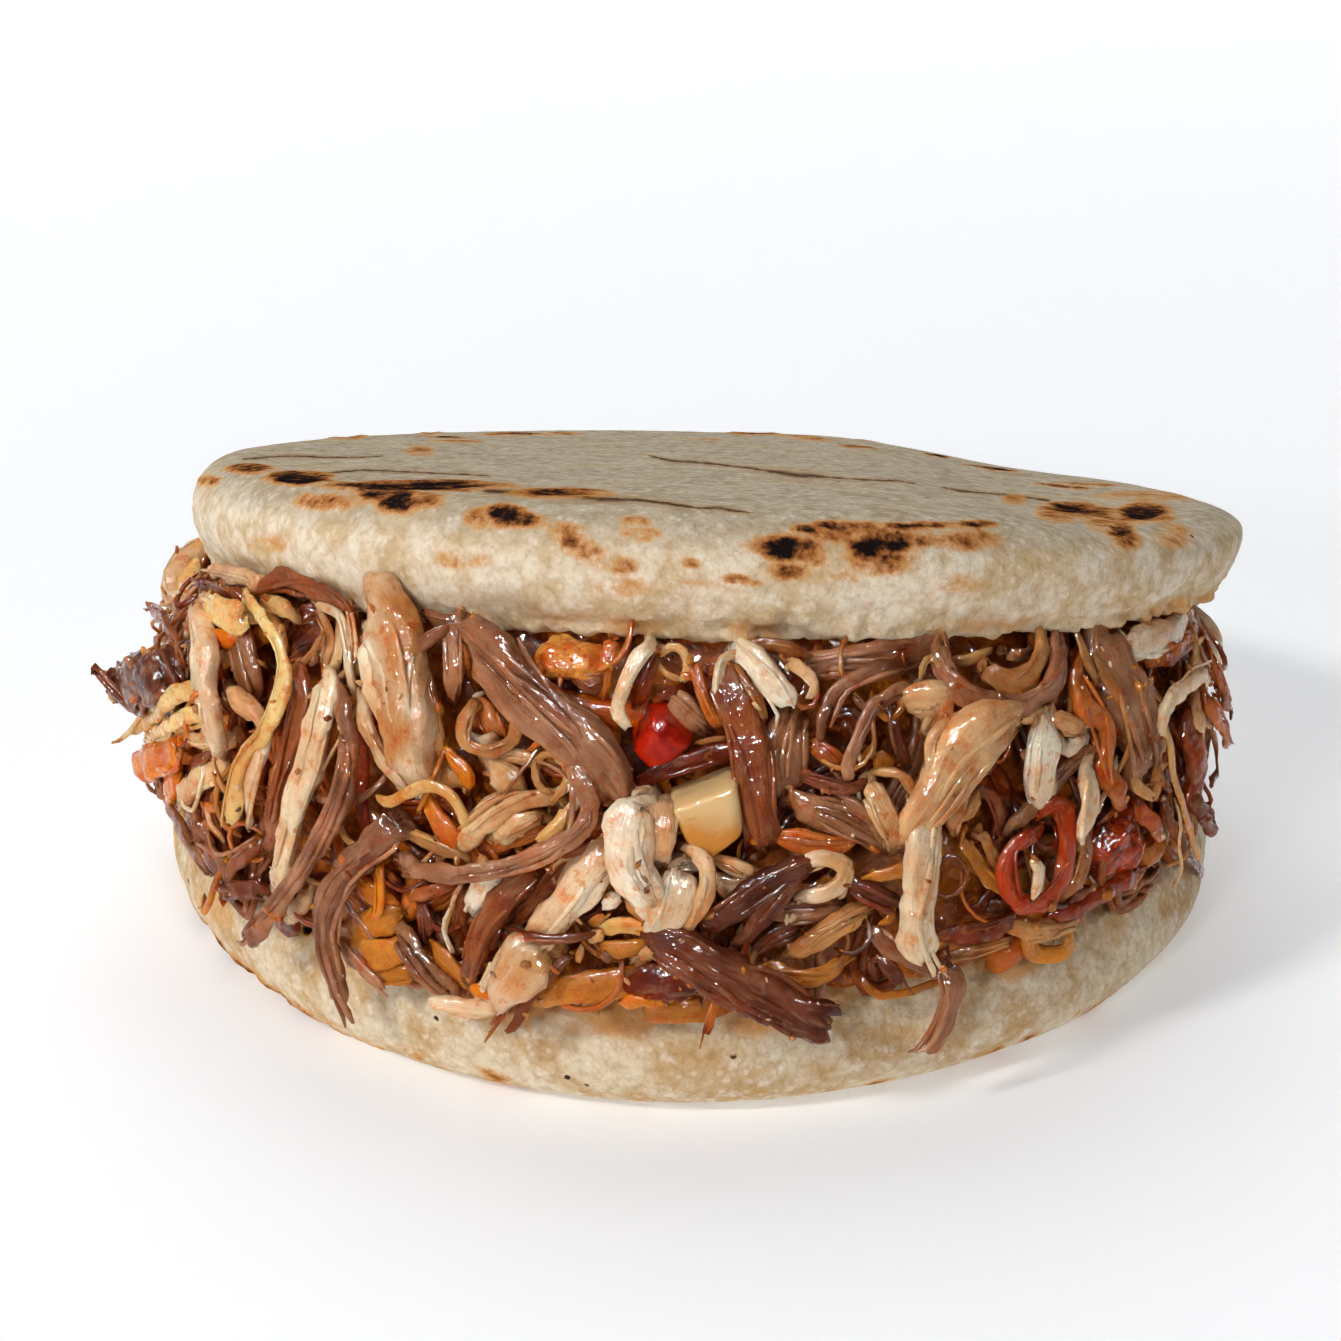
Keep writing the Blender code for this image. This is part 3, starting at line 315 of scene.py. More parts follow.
    ("onion", 1.6, "-", (540, 1000, 10), (565, 992, 24), (600, 985, 36), (636, 978, 26)),
    ("gray", 2.0, "-", (406, 936, 20), (415, 960, 28), (431, 980, 26), (450, 991, 12)),
    ("dark", 0.6, "-", (420, 904, 14), (428, 920, 18), (424, 936, 14)),
    ("onion", 1.2, "-", (434, 948, 20), (449, 965, 22), (464, 985, 14)),
    ("white", 2.6, "-", (466, 879, 4), (456, 892, 5), (450, 912, 4), (445, 932, 4), (453, 950, 4)),
    ("brown", 1.2, "-", (472, 880, 10), (460, 904, 14), (464, 926, 12)),
    ("brown", 1.2, "-", (592, 848, 16), (562, 872, 20), (535, 904, 18), (514, 926, 12)),
    ("deep", 0.6, "-", (622, 790, 16), (606, 826, 22), (592, 856, 16)),
    ("brown", 1.0, "-", (570, 672, 14), (590, 688, 22), (606, 678, 14)),
    ("stained", 1.2, "-", (614, 640, 14), (609, 665, 17), (605, 694, 12)),
    (
        "chicken", 3.4, ">",
        (650, 641, 16), (636, 658, 17), (625, 680, 18), (617, 702, 18), (622, 721, 12), (629, 732, 6),
    ),
    ("deep", 2.4, "-", (656, 650, 16), (646, 678, 19), (638, 702, 12)),
    ("fat", 2.0, "-", (659, 654, 8), (672, 646, 10), (685, 652, 10), (688, 668, 9), (683, 681, 7)),
    ("fat", 1.6, "-", (655, 660, 8), (665, 673, 8), (681, 680, 7)),
    ("stained", 2.2, "-", (689, 660, 10), (697, 681, 12), (706, 704, 14), (719, 727, 13)),
    ("gray", 1.2, "-", (670, 694, 18), (686, 710, 27), (704, 727, 22)),
    ("deep", 1.6, "-", (654, 700, 8), (668, 692, 12), (682, 686, 8)),
    ("red", 0.8, "-", (703, 680, 9), (709, 688, 12), (716, 698, 8)),
    ("sauce", 1.8, "-", (641, 786, 16), (662, 771, 18), (690, 758, 20), (718, 752, 20), (738, 753, 12)),
    ("tan", 2.0, "-", (699, 743, 5), (714, 739, 7), (731, 737, 5)),
    ("chicken", 2.6, "-", (738, 652, 10), (724, 659, 10), (718, 677, 9), (717, 700, 8)),
    ("white", 3.2, ">", (742, 652, 22), (758, 662, 26), (774, 680, 30), (788, 700, 24), (789, 715, 11)),
    ("peach", 2.8, ">", (749, 664, 13), (757, 684, 14), (766, 701, 11)),
    ("white", 3.2, ">", (789, 660, 14), (806, 672, 14), (815, 686, 14), (806, 702, 10)),
    ("tan", 2.8, "-", (744, 646, 12), (770, 645, 15), (793, 650, 14), (806, 657, 8)),
    (
        "brown", 2.6, "-",
        (722, 672, 12), (735, 700, 30), (748, 735, 38), (754, 775, 32), (759, 808, 24), (766, 838, 16),
    ),
    ("dark", 2.0, "-", (745, 788, 14), (748, 815, 17), (752, 840, 13)),
    ("tan", 3.2, "-", (734, 667, 8), (745, 685, 10), (757, 703, 12), (763, 720, 6)),
    ("gray", 1.0, "-", (792, 716, 32), (785, 750, 40), (784, 784, 30)),
    ("stained", 1.6, "-", (810, 738, 14), (826, 750, 22), (842, 766, 15)),
    ("dark", 2.6, "-", (798, 771, 14), (822, 782, 15), (845, 790, 14), (866, 784, 8)),
    ("gray", 1.8, "-", (794, 803, 18), (820, 812, 34), (850, 822, 30), (878, 842, 16)),
    ("stained", 2.2, "-", (774, 837, 12), (800, 843, 22), (830, 845, 24), (852, 838, 14)),
    (
        "white", 4.2, "-",
        (642, 797, 22), (632, 820, 44), (629, 850, 52), (632, 874, 44), (643, 890, 32), (656, 908, 14),
    ),
    ("chicken", 4.0, "-", (663, 806, 20), (663, 830, 30), (658, 854, 22)),
    ("white", 3.8, "-", (681, 866, 18), (678, 890, 36), (668, 912, 34), (655, 930, 12)),
    ("chicken", 4.0, "-", (688, 850, 12), (705, 862, 16), (708, 885, 18), (698, 908, 16), (683, 932, 7)),
    ("dark", 3.2, "-", (814, 862, 14), (786, 874, 24), (755, 890, 26), (725, 911, 30), (698, 922, 12)),
    ("dark", 3.6, "-", (802, 870, 16), (778, 895, 22), (760, 918, 20), (740, 940, 10)),
    ("peach", 2.0, "-", (711, 858, 10), (735, 866, 17), (760, 880, 14)),
    ("white", 1.6, "-", (714, 884, 18), (732, 888, 26), (750, 878, 14)),
    (
        "white", 2.8, "-",
        (799, 863, 12), (822, 856, 18), (842, 862, 18), (846, 877, 16), (830, 890, 19), (804, 896, 14),
    ),
    ("gray", 2.4, "-", (795, 899, 5), (820, 896, 6), (844, 890, 5)),
    ("tan", 2.2, "-", (866, 908, 14), (846, 922, 26), (820, 938, 26), (796, 951, 14)),
    ("gray", 1.6, "-", (768, 912, 14), (796, 912, 26), (832, 907, 18)),
    ("dark", 1.2, "-", (762, 946, 14), (780, 935, 24), (798, 924, 18)),
    ("onion", 1.6, "-", (768, 966, 12), (790, 978, 22), (816, 978, 22), (846, 960, 12)),
    (
        "dark", 3.6, ">",
        (654, 936, 14), (680, 950, 34), (706, 963, 52), (733, 981, 58), (760, 999, 48), (787, 1014, 34),
        (814, 1027, 22), (838, 1033, 8),
    ),
    ("dark", 3.8, ">", (778, 1000, 20), (804, 1006, 20), (828, 1008, 17), (841, 1013, 9)),
    ("sauce", 2.6, "-", (635, 986, 10), (654, 979, 30), (676, 985, 42), (698, 985, 18)),
    ("sauce", 2.8, ">", (668, 980, 18), (671, 998, 22), (672, 1010, 10)),
    ("stained", 3.0, ">", (720, 998, 13), (711, 1014, 12), (708, 1028, 11), (707, 1038, 7)),
    ("orange", 1.8, "-", (628, 1000, 10), (644, 996, 18), (657, 1004, 11)),
    ("white", 2.2, "<>", (599, 906, 12), (610, 900, 18), (621, 897, 10)),
    ("onion", 2.2, "<>", (588, 926, 9), (599, 920, 13), (608, 914, 8)),
    ("fat", 2.0, "<>", (586, 940, 12), (596, 938, 15), (605, 940, 10)),
    ("yellow", 2.4, "-", (604, 928, 14), (628, 923, 20), (654, 937, 14)),
    ("onion", 2.0, "-", (605, 948, 14), (625, 949, 20), (642, 944, 14)),
    ("gray", 2.0, "<>", (600, 951, 10), (608, 956, 12), (616, 958, 8)),
    ("peach", 1.8, "-", (634, 961, 12), (654, 948, 16), (664, 940, 10)),
    ("fat", 2.6, "<>", (584, 943, 7), (581, 954, 10), (579, 964, 8)),
    ("tan", 2.0, "-", (626, 897, 10), (640, 911, 16), (656, 926, 9)),
    ("beef", 0.8, "-", (804, 665, 8), (825, 661, 16), (856, 660, 30), (895, 656, 36), (932, 645, 24)),
    (
        "beef", 2.8, ">",
        (902, 664, 18), (866, 674, 17), (841, 688, 14), (827, 706, 10), (823, 724, 8), (823, 744, 5),
    ),
    (
        "beef", 3.2, "-",
        (902, 688, 16), (881, 697, 15), (866, 713, 14), (858, 735, 12), (851, 757, 11), (848, 778, 7),
    ),
    ("brown", 2.2, "-", (893, 696, 13), (892, 720, 15), (897, 745, 13), (906, 766, 9)),
    ("gray", 2.4, "-", (849, 694, 4), (860, 706, 5), (874, 716, 4)),
    ("deep", 0.2, "-", (832, 718, 20), (846, 716, 28), (856, 736, 20)),
    ("onion", 1.8, "-", (868, 755, 16), (882, 764, 22), (894, 768, 14)),
    ("peach", 2.8, "-", (903, 699, 12), (924, 698, 34), (940, 699, 36), (932, 724, 14)),
    (
        "beef", 3.2, "-",
        (937, 640, 8), (943, 660, 13), (956, 686, 20), (985, 701, 24), (1020, 705, 22), (1048, 691, 22),
        (1059, 665, 18), (1056, 636, 12),
    ),
    ("tan", 2.8, "-", (983, 668, 16), (1008, 679, 22), (1032, 673, 24), (1042, 650, 20), (1040, 630, 12)),
    ("gray", 1.2, "-", (1003, 650, 12), (1020, 656, 15), (1032, 650, 10)),
    ("fat", 3.4, "-", (920, 680, 4), (921, 664, 5), (930, 656, 5), (939, 665, 5), (946, 684, 6)),
    ("fat", 1.2, "-", (953, 660, 6), (970, 659, 13), (987, 651, 9)),
    (
        "peach", 4.0, "-",
        (1004, 718, 34), (980, 738, 62), (959, 765, 52), (941, 792, 40), (926, 812, 32), (911, 831, 15),
    ),
    ("peach", 4.2, "-", (957, 717, 13), (936, 731, 14), (928, 752, 14), (932, 775, 14), (943, 792, 11)),
    ("peach", 3.2, "-", (867, 780, 12), (880, 800, 22), (888, 822, 22), (893, 844, 8)),
    ("fat", 3.0, "-", (876, 772, 12), (898, 774, 12), (912, 791, 11), (923, 810, 8)),
    ("peach", 3.2, "-", (888, 817, 14), (904, 827, 14), (914, 826, 9)),
    ("gray", 2.4, "-", (836, 797, 16), (858, 808, 19), (874, 824, 20), (885, 847, 11)),
    (
        "white", 2.8, "-",
        (1041, 720, 22), (1040, 742, 38), (1040, 766, 22), (1040, 785, 14), (1040, 797, 8),
    ),
    ("peach", 2.8, "-", (1012, 718, 10), (1030, 716, 17), (1044, 714, 10)),
    ("peach", 3.0, "-", (1046, 710, 15), (1065, 722, 20), (1082, 726, 12)),
    ("white", 3.0, "-", (1058, 737, 12), (1072, 749, 15), (1082, 740, 10)),
    ("beef", 2.0, "-", (1094, 750, 12), (1072, 765, 17), (1054, 785, 18), (1034, 803, 12)),
    ("gray", 1.4, "-", (1042, 797, 18), (1023, 812, 20), (1008, 827, 9)),
    ("dark", 1.4, "-", (973, 789, 10), (994, 799, 12), (1003, 820, 12), (997, 834, 8)),
    ("peach", 2.2, "-", (964, 796, 13), (957, 812, 18), (954, 828, 12)),
    ("tan", 1.6, "-", (978, 792, 13), (972, 810, 13), (964, 820, 8)),
    ("tan", 2.8, "-", (1072, 620, 8), (1080, 640, 10), (1085, 662, 10), (1096, 684, 9)),
    (
        "gray", 1.8, "-",
        (1094, 628, 28), (1105, 655, 50), (1118, 686, 62), (1132, 716, 58), (1141, 746, 42),
        (1136, 772, 22),
    ),
    ("gray", 2.8, "-", (1104, 646, 12), (1130, 668, 14), (1150, 690, 16), (1164, 714, 12)),
    (
        "tan", 2.8, "-",
        (1091, 653, 12), (1109, 681, 14), (1125, 710, 14), (1130, 740, 14), (1120, 768, 11),
    ),
    (
        "stained", 3.0, "-",
        (1078, 662, 16), (1078, 690, 24), (1086, 712, 22), (1104, 722, 18), (1108, 745, 22),
        (1104, 769, 26), (1116, 793, 18), (1121, 803, 7),
    ),
    (
        "chicken", 3.6, "-",
        (1087, 761, 11), (1090, 785, 19), (1091, 806, 24), (1086, 826, 14), (1084, 834, 6),
    ),
    ("white", 2.8, "-", (1116, 643, 13), (1138, 644, 24), (1160, 636, 34), (1178, 625, 18)),
    ("deep", 1.2, "-", (1096, 624, 18), (1122, 617, 26), (1150, 612, 22), (1170, 612, 12)),
    ("stained", 2.0, "-", (1164, 604, 10), (1180, 610, 16), (1192, 624, 12)),
    ("stained", 2.2, "-", (1138, 659, 13), (1160, 661, 17), (1181, 649, 17), (1192, 632, 11)),
    ("fat", 2.0, "-", (1187, 627, 10), (1195, 646, 14), (1194, 668, 13)),
    (
        "stained", 2.6, ">",
        (1204, 638, 10), (1212, 658, 14), (1219, 677, 14), (1226, 696, 12), (1231, 710, 10),
        (1231, 721, 6),
    ),
    ("stained", 2.8, ">", (1200, 688, 20), (1212, 710, 17), (1222, 729, 14), (1230, 746, 6)),
    ("peach", 2.4, ">", (1192, 698, 18), (1198, 720, 16), (1203, 736, 8)),
    (
        "chicken", 3.4, "<",
        (1207, 672, 10), (1190, 682, 16), (1173, 696, 20), (1163, 713, 16), (1160, 730, 9),
    ),
    ("red", 1.6, "-", (1184, 718, 22), (1191, 750, 34), (1194, 780, 32), (1186, 806, 22)),
    (
        "fat", 3.2, ">",
        (1163, 722, 8), (1170, 750, 9), (1174, 778, 9), (1183, 808, 9), (1192, 835, 8), (1199, 860, 5),
    ),
    ("brown", 2.4, ">", (1188, 798, 20), (1204, 815, 20), (1213, 834, 12)),
    ("tan", 2.2, "-", (1150, 728, 18), (1158, 756, 14), (1156, 788, 11)),
    ("tan", 2.2, "-", (1129, 769, 12), (1140, 789, 14), (1153, 796, 11), (1159, 782, 7)),
    ("brown", 1.8, "-", (1164, 798, 14), (1172, 824, 14), (1185, 848, 12), (1198, 868, 6)),
    ("red", 1.4, "-", (1130, 806, 18), (1148, 816, 22), (1160, 832, 14)),
    (
        "chicken", 4.0, ">",
        (928, 820, 34), (924, 850, 42), (921, 880, 40), (918, 905, 38), (915, 930, 36), (920, 952, 26),
        (929, 968, 9),
    ),
    (
        "beef", 3.0, ">",
        (944, 962, 18), (956, 985, 22), (950, 1008, 22), (943, 1030, 22), (934, 1048, 22),
        (922, 1057, 14),
    ),
    ("onion", 3.4, ">", (866, 877, 12), (889, 872, 18), (908, 868, 15), (918, 874, 8)),
    ("dark", 2.0, "-", (843, 878, 14), (868, 890, 20), (898, 908, 12)),
    ("onion", 2.0, "-", (884, 924, 9), (892, 917, 12), (897, 908, 6)),
    ("beef", 2.2, "-", (868, 922, 14), (884, 944, 15), (906, 960, 14), (932, 972, 9)),
    ("brown", 2.4, ">", (878, 956, 13), (893, 972, 18), (899, 988, 8)),
    ("onion", 1.6, "-", (962, 836, 14), (974, 860, 17), (990, 880, 17), (1008, 896, 13)),
    ("tan", 1.4, "-", (978, 828, 10), (989, 848, 13), (996, 870, 10)),
    (
        "roast", 2.4, "-",
        (1040, 813, 18), (1054, 802, 22), (1067, 820, 24), (1066, 850, 24), (1060, 880, 24),
        (1040, 904, 20), (1016, 900, 19), (1004, 880, 18), (1005, 858, 14), (1017, 841, 14),
        (1036, 834, 13),
    ),
    ("white", 3.0, "<>", (1030, 857, 8), (1037, 869, 13), (1035, 886, 12), (1030, 903, 5)),
    ("tan", 1.2, "-", (1003, 924, 12), (1028, 928, 24), (1056, 928, 17), (1074, 921, 9)),
    ("deep", 1.2, "-", (943, 937, 18), (970, 932, 24), (1000, 925, 19), (1014, 914, 9)),
    ("tan", 1.2, "-", (948, 956, 12), (975, 950, 16), (1004, 942, 9)),
    ("tan", 2.2, "-", (1088, 834, 13), (1085, 862, 17), (1075, 888, 14), (1065, 898, 8)),
    ("sauce", 1.8, "-", (1048, 916, 12), (1078, 909, 18), (1105, 892, 18), (1134, 876, 12)),
    ("onion", 2.2, "<>", (1099, 897, 8), (1107, 894, 12), (1115, 890, 7)),
)

# Light and dark colour of each kind of shred, in screen values from 0 to 255
KIND_COLOURS = {
    "beef": ((190, 130, 92), (104, 50, 22)),
    "brown": ((162, 86, 42), (98, 42, 16)),
    "gray": ((180, 124, 84), (118, 66, 36)),
    "dark": ((140, 72, 42), (80, 34, 18)),
    "deep": ((140, 52, 4), (66, 20, 1)),
    "chicken": ((250, 226, 188), (206, 136, 70)),
    "white": ((253, 240, 214), (212, 154, 90)),
    "peach": ((242, 200, 146), (186, 108, 44)),
    "tan": ((212, 152, 88), (138, 70, 20)),
    "yellow": ((250, 216, 144), (208, 130, 38)),
    "fat": ((222, 174, 110), (176, 112, 52)),
    "stained": ((216, 118, 40), (146, 56, 8)),
    "orange": ((240, 142, 24), (204, 72, 4)),
    "onion": ((212, 136, 44), (160, 76, 10)),
    "red": ((198, 86, 22), (116, 38, 6)),
    "roast": ((186, 60, 8), (98, 22, 2)),
    "sauce": ((150, 46, 2), (74, 18, 1)),
}

# Thickness for width, strands laid on for each millimetre of width, depth and width of the grooves, how boxy
KIND_SHAPES = {
    "beef": (0.5, 1.3, 0.13, 0.9, 0.62),
    "brown": (0.5, 1.2, 0.13, 0.8, 0.75),
    "gray": (0.45, 1.2, 0.13, 0.8, 0.7),
    "dark": (0.5, 1.2, 0.16, 0.8, 0.7),
    "deep": (0.45, 0.8, 0.12, 0.8, 0.8),
    "chicken": (0.6, 0.6, 0.045, 1.5, 0.62),
    "white": (0.6, 0.6, 0.055, 1.3, 0.62),
    "peach": (0.55, 0.7, 0.07, 1.1, 0.75),
    "tan": (0.45, 0.9, 0.11, 0.9, 0.75),
    "yellow": (0.5, 0.2, 0.05, 1.2, 0.8),
    "fat": (0.6, 0.0, 0.03, 1.5, 0.85),
    "stained": (0.45, 0.8, 0.12, 0.8, 0.75),
    "orange": (0.55, 0.2, 0.12, 1.3, 0.8),
    "onion": (0.35, 0.0, 0.04, 1.6, 0.75),
    "red": (0.45, 0.2, 0.10, 1.2, 0.8),
    "roast": (0.4, 0.2, 0.10, 1.2, 0.8),
    "sauce": (0.45, 0.2, 0.08, 1.2, 0.85),
}

# Which scene piece each kind belongs to
PIECE_KINDS = {
    "dark_meat_shreds": ("beef", "brown", "gray", "dark"),
    "pale_meat_shreds": ("chicken", "white", "peach", "tan"),
    "sauced_shreds": ("stained", "orange", "red", "roast", "sauce", "deep"),
    "soft_strips": ("onion", "fat", "yellow"),
}

FILM_IOR = 1.25
GLOSS_UNDER_FILM = 0.02
# Sauce colour, also mixed in deeper in the heap as painted shade of the gaps between shreds
SAUCE_AND_SHADE = (134, 56, 10)
OIL = (226, 116, 22)


def linear(colour):
    """Screen values from 0 to 255 as linear light."""
    share = np.asarray(colour, float) / 255
    return np.where(share <= 0.04045, share / 12.92, ((share + 0.055) / 1.055) ** 2.4)


def ramp(low, high, value):
    """0 below low, 1 above high, and an S-curve between."""
    share = np.clip((value - low) / (high - low), 0.0, 1.0)
    return share * share * (3 - 2 * share)


def scatter(cells, seed):
    """A repeatable value from 0 to 1 for each whole-number cell."""
    mixed = cells[..., 0] * 73856093 ^ cells[..., 1] * 19349663 ^ cells[..., 2] * 83492791 ^ seed * 2654435761
    mixed = (mixed ^ (mixed >> 13)) * 1274126177
    return ((mixed ^ (mixed >> 16)) & 0xFFFFFF) / 0xFFFFFF


def lumps(points, size, seed=0):
    """Smooth noise from -1 to 1 with lumps of the given size."""
    spots = np.asarray(points, float) / size + 500.0
    cells = np.floor(spots).astype(np.int64)
    share = spots - cells
    share = share * share * (3 - 2 * share)
    total = np.zeros(len(spots))
    for corner in np.ndindex(2, 2, 2):
        offset = np.array(corner)
        weight = np.prod(np.where(offset, share, 1 - share), axis=1)
        total += weight * scatter(cells + offset, seed)
    return 2 * total - 1


def layered(points, size, seed=0, layers=3):
    """Noise with finer and weaker layers added."""
    total = sum(lumps(points, size / 2**layer, seed + layer) / 2**layer for layer in range(layers))
    return total / sum(0.5**layer for layer in range(layers))


def grains(points, size, seed=0):
    """Distance to the nearest grain's middle over the size, and that grain's own value from 0 to 1."""
    spots = np.asarray(points, float) / size + 500.0
    cells = np.floor(spots).astype(np.int64)
    nearest = np.full(len(spots), 9.0)
    value = np.zeros(len(spots))
    for step in np.ndindex(3, 3, 3):
        cell = cells + np.array(step) - 1
        middle = cell + np.stack([scatter(cell, seed + axis) for axis in (1, 2, 3)], axis=1)
        away = np.linalg.norm(middle - spots, axis=1)
        closer = away < nearest
        nearest = np.where(closer, away, nearest)
        value = np.where(closer, scatter(cell, seed + 4), value)
    return nearest, value


def upper_matrix():
    """Where the upper half sits, in millimetres."""
    turn = Euler((-UPPER_LEAN, UPPER_ROLL, 0.0)).to_matrix().to_4x4()
    return Matrix.Translation(UPPER_CENTRE) @ turn


UPPER_PLACE = upper_matrix()
CUT_POINT = UPPER_PLACE @ Vector((0.0, 0.0, -UPPER_THICK / 2))
CUT_NORMAL = UPPER_PLACE.to_3x3() @ Vector((0.0, 0.0, 1.0))


def ceiling(x, y):
    """Height of the upper half's cut face over a point."""
    tilt = CUT_NORMAL.x * (x - CUT_POINT.x) + CUT_NORMAL.y * (y - CUT_POINT.y)
    return CUT_POINT.z - tilt / CUT_NORMAL.z


def around(azimuth, radius):
    """The x and y of a point at an azimuth from the front, in degrees."""
    turn = math.radians(azimuth)
    return radius * math.sin(turn), -radius * math.cos(turn)


def filling_top(azimuth):
    return ceiling(*around(azimuth, UPPER_RADIUS - CUT_INSET))


def reach_for(share, behind):
    """How far out the filling's surface is, by the share of its height and how far behind it is."""
    return FRONT_REACH - TOP_TUCK * share**3 - BACK_TUCK * behind


def reach_at(azimuth, height):
    """How far out the filling's surface is at an azimuth and height."""
    share = (height - LOWER_THICK) / (filling_top(azimuth) - LOWER_THICK)
    share = min(max(share, 0.0), PAST_TOP)
    return reach_for(share, (1 - math.cos(math.radians(azimuth))) / 2)


def surface(azimuth, height, lift=0.0):
    """A point on the filling's surface, or lifted off it."""
    return Vector((*around(azimuth, reach_at(azimuth, height) + lift), height))


def sight(x, y):
    """The direction from the eye through a picture position."""
    ahead = Vector((0.0, math.cos(EYE_DROP), -math.sin(EYE_DROP)))
    up = Vector((0.0, math.sin(EYE_DROP), math.cos(EYE_DROP)))
    across = Vector((1.0, 0.0, 0.0))
    return ahead + (across * (x - PICTURE_MIDDLE) - up * (y - PICTURE_MIDDLE)) / PICTURE_FOCUS


def seen(x, y, lift):
    """The point on the lifted surface that shows at a picture position, and millimetres per pixel there.

    Where the line of sight only passes by the surface, it is the point nearest to it.
    """
    ray = sight(x, y)

    def outside(depth):
        point = EYE + ray * depth
        azimuth = math.degrees(math.atan2(point.x, -point.y))
        return math.hypot(point.x, point.y) - reach_at(azimuth, point.z) - lift

    near = SIGHT_NEAR
    closest = near
    while near < SIGHT_FAR and outside(near) > 0:
        near += SIGHT_STEP
        if outside(near) < outside(closest):
            closest = near
    if near >= SIGHT_FAR:
        return EYE + ray * closest, closest / PICTURE_FOCUS
    far = near
    near -= SIGHT_STEP
    for _ in range(SIGHT_HALVINGS):
        middle = (near + far) / 2
        if outside(middle) > 0:
            near = middle
        else:
            far = middle
    return EYE + ray * far, far / PICTURE_FOCUS


def pictured(points):
    """The picture positions of points."""
    away = points - np.array(EYE)
    ahead = np.array([0.0, math.cos(EYE_DROP), -math.sin(EYE_DROP)])
    up = np.array([0.0, math.sin(EYE_DROP), math.cos(EYE_DROP)])
    depth = away @ ahead
    across = PICTURE_MIDDLE + PICTURE_FOCUS * away[:, 0] / depth
    down = PICTURE_MIDDLE - PICTURE_FOCUS * (away @ up) / depth
    return np.stack([across, down], axis=1)


def add_object(name, points, faces, finish, floats=None, colours=None):
    """A smooth mesh object from points in millimetres, kept inside the solids' box."""
    low, high = (np.array(corner) / MM for corner in CAD_BOX)
    points = np.clip(points, low, high)
    mesh = bpy.data.meshes.new(name)
    faces = [np.asarray(some) for some in faces if len(some)]
    mesh.vertices.add(len(points))
    mesh.vertices.foreach_set("co", (points * MM).ravel())
    corners = np.concatenate([some.ravel() for some in faces])
    sizes = np.concatenate([np.full(len(some), some.shape[1]) for some in faces])
    mesh.loops.add(len(corners))
    mesh.loops.foreach_set("vertex_index", corners)
    mesh.polygons.add(len(sizes))
    mesh.polygons.foreach_set("loop_start", np.concatenate([[0], np.cumsum(sizes)[:-1]]))
    mesh.update(calc_edges=True)
    mesh.polygons.foreach_set("use_smooth", np.ones(len(sizes), bool))
    mesh.materials.append(finish)
    for title, values in (floats or {}).items():
        wide = np.ndim(values) == 2
        layer = mesh.attributes.new(title, "FLOAT_VECTOR" if wide else "FLOAT", "POINT")
        layer.data.foreach_set("vector" if wide else "value", np.asarray(values, np.float32).ravel())
    for title, values in (colours or {}).items():
        layer = mesh.attributes.new(title, "FLOAT_COLOR", "POINT")
        whole = np.concatenate([values, np.ones((len(values), 1))], axis=1)
        layer.data.foreach_set("color", whole.astype(np.float32).ravel())
    obj = bpy.data.objects.new(name, mesh)
    bpy.context.scene.collection.objects.link(obj)
    return obj


def vertex_normals(points, faces):
    """Unit normals of points from the faces round them."""
    total = np.zeros_like(points)
    for some in faces:
        some = np.asarray(some)
        if not len(some):
            continue
        first, second, third = points[some[:, 0]], points[some[:, 1]], points[some[:, 2]]
        normal = np.cross(second - first, third - first)
        for column in range(some.shape[1]):
            np.add.at(total, some[:, column], normal)
    return total / np.maximum(np.linalg.norm(total, axis=1, keepdims=True), 1e-9)


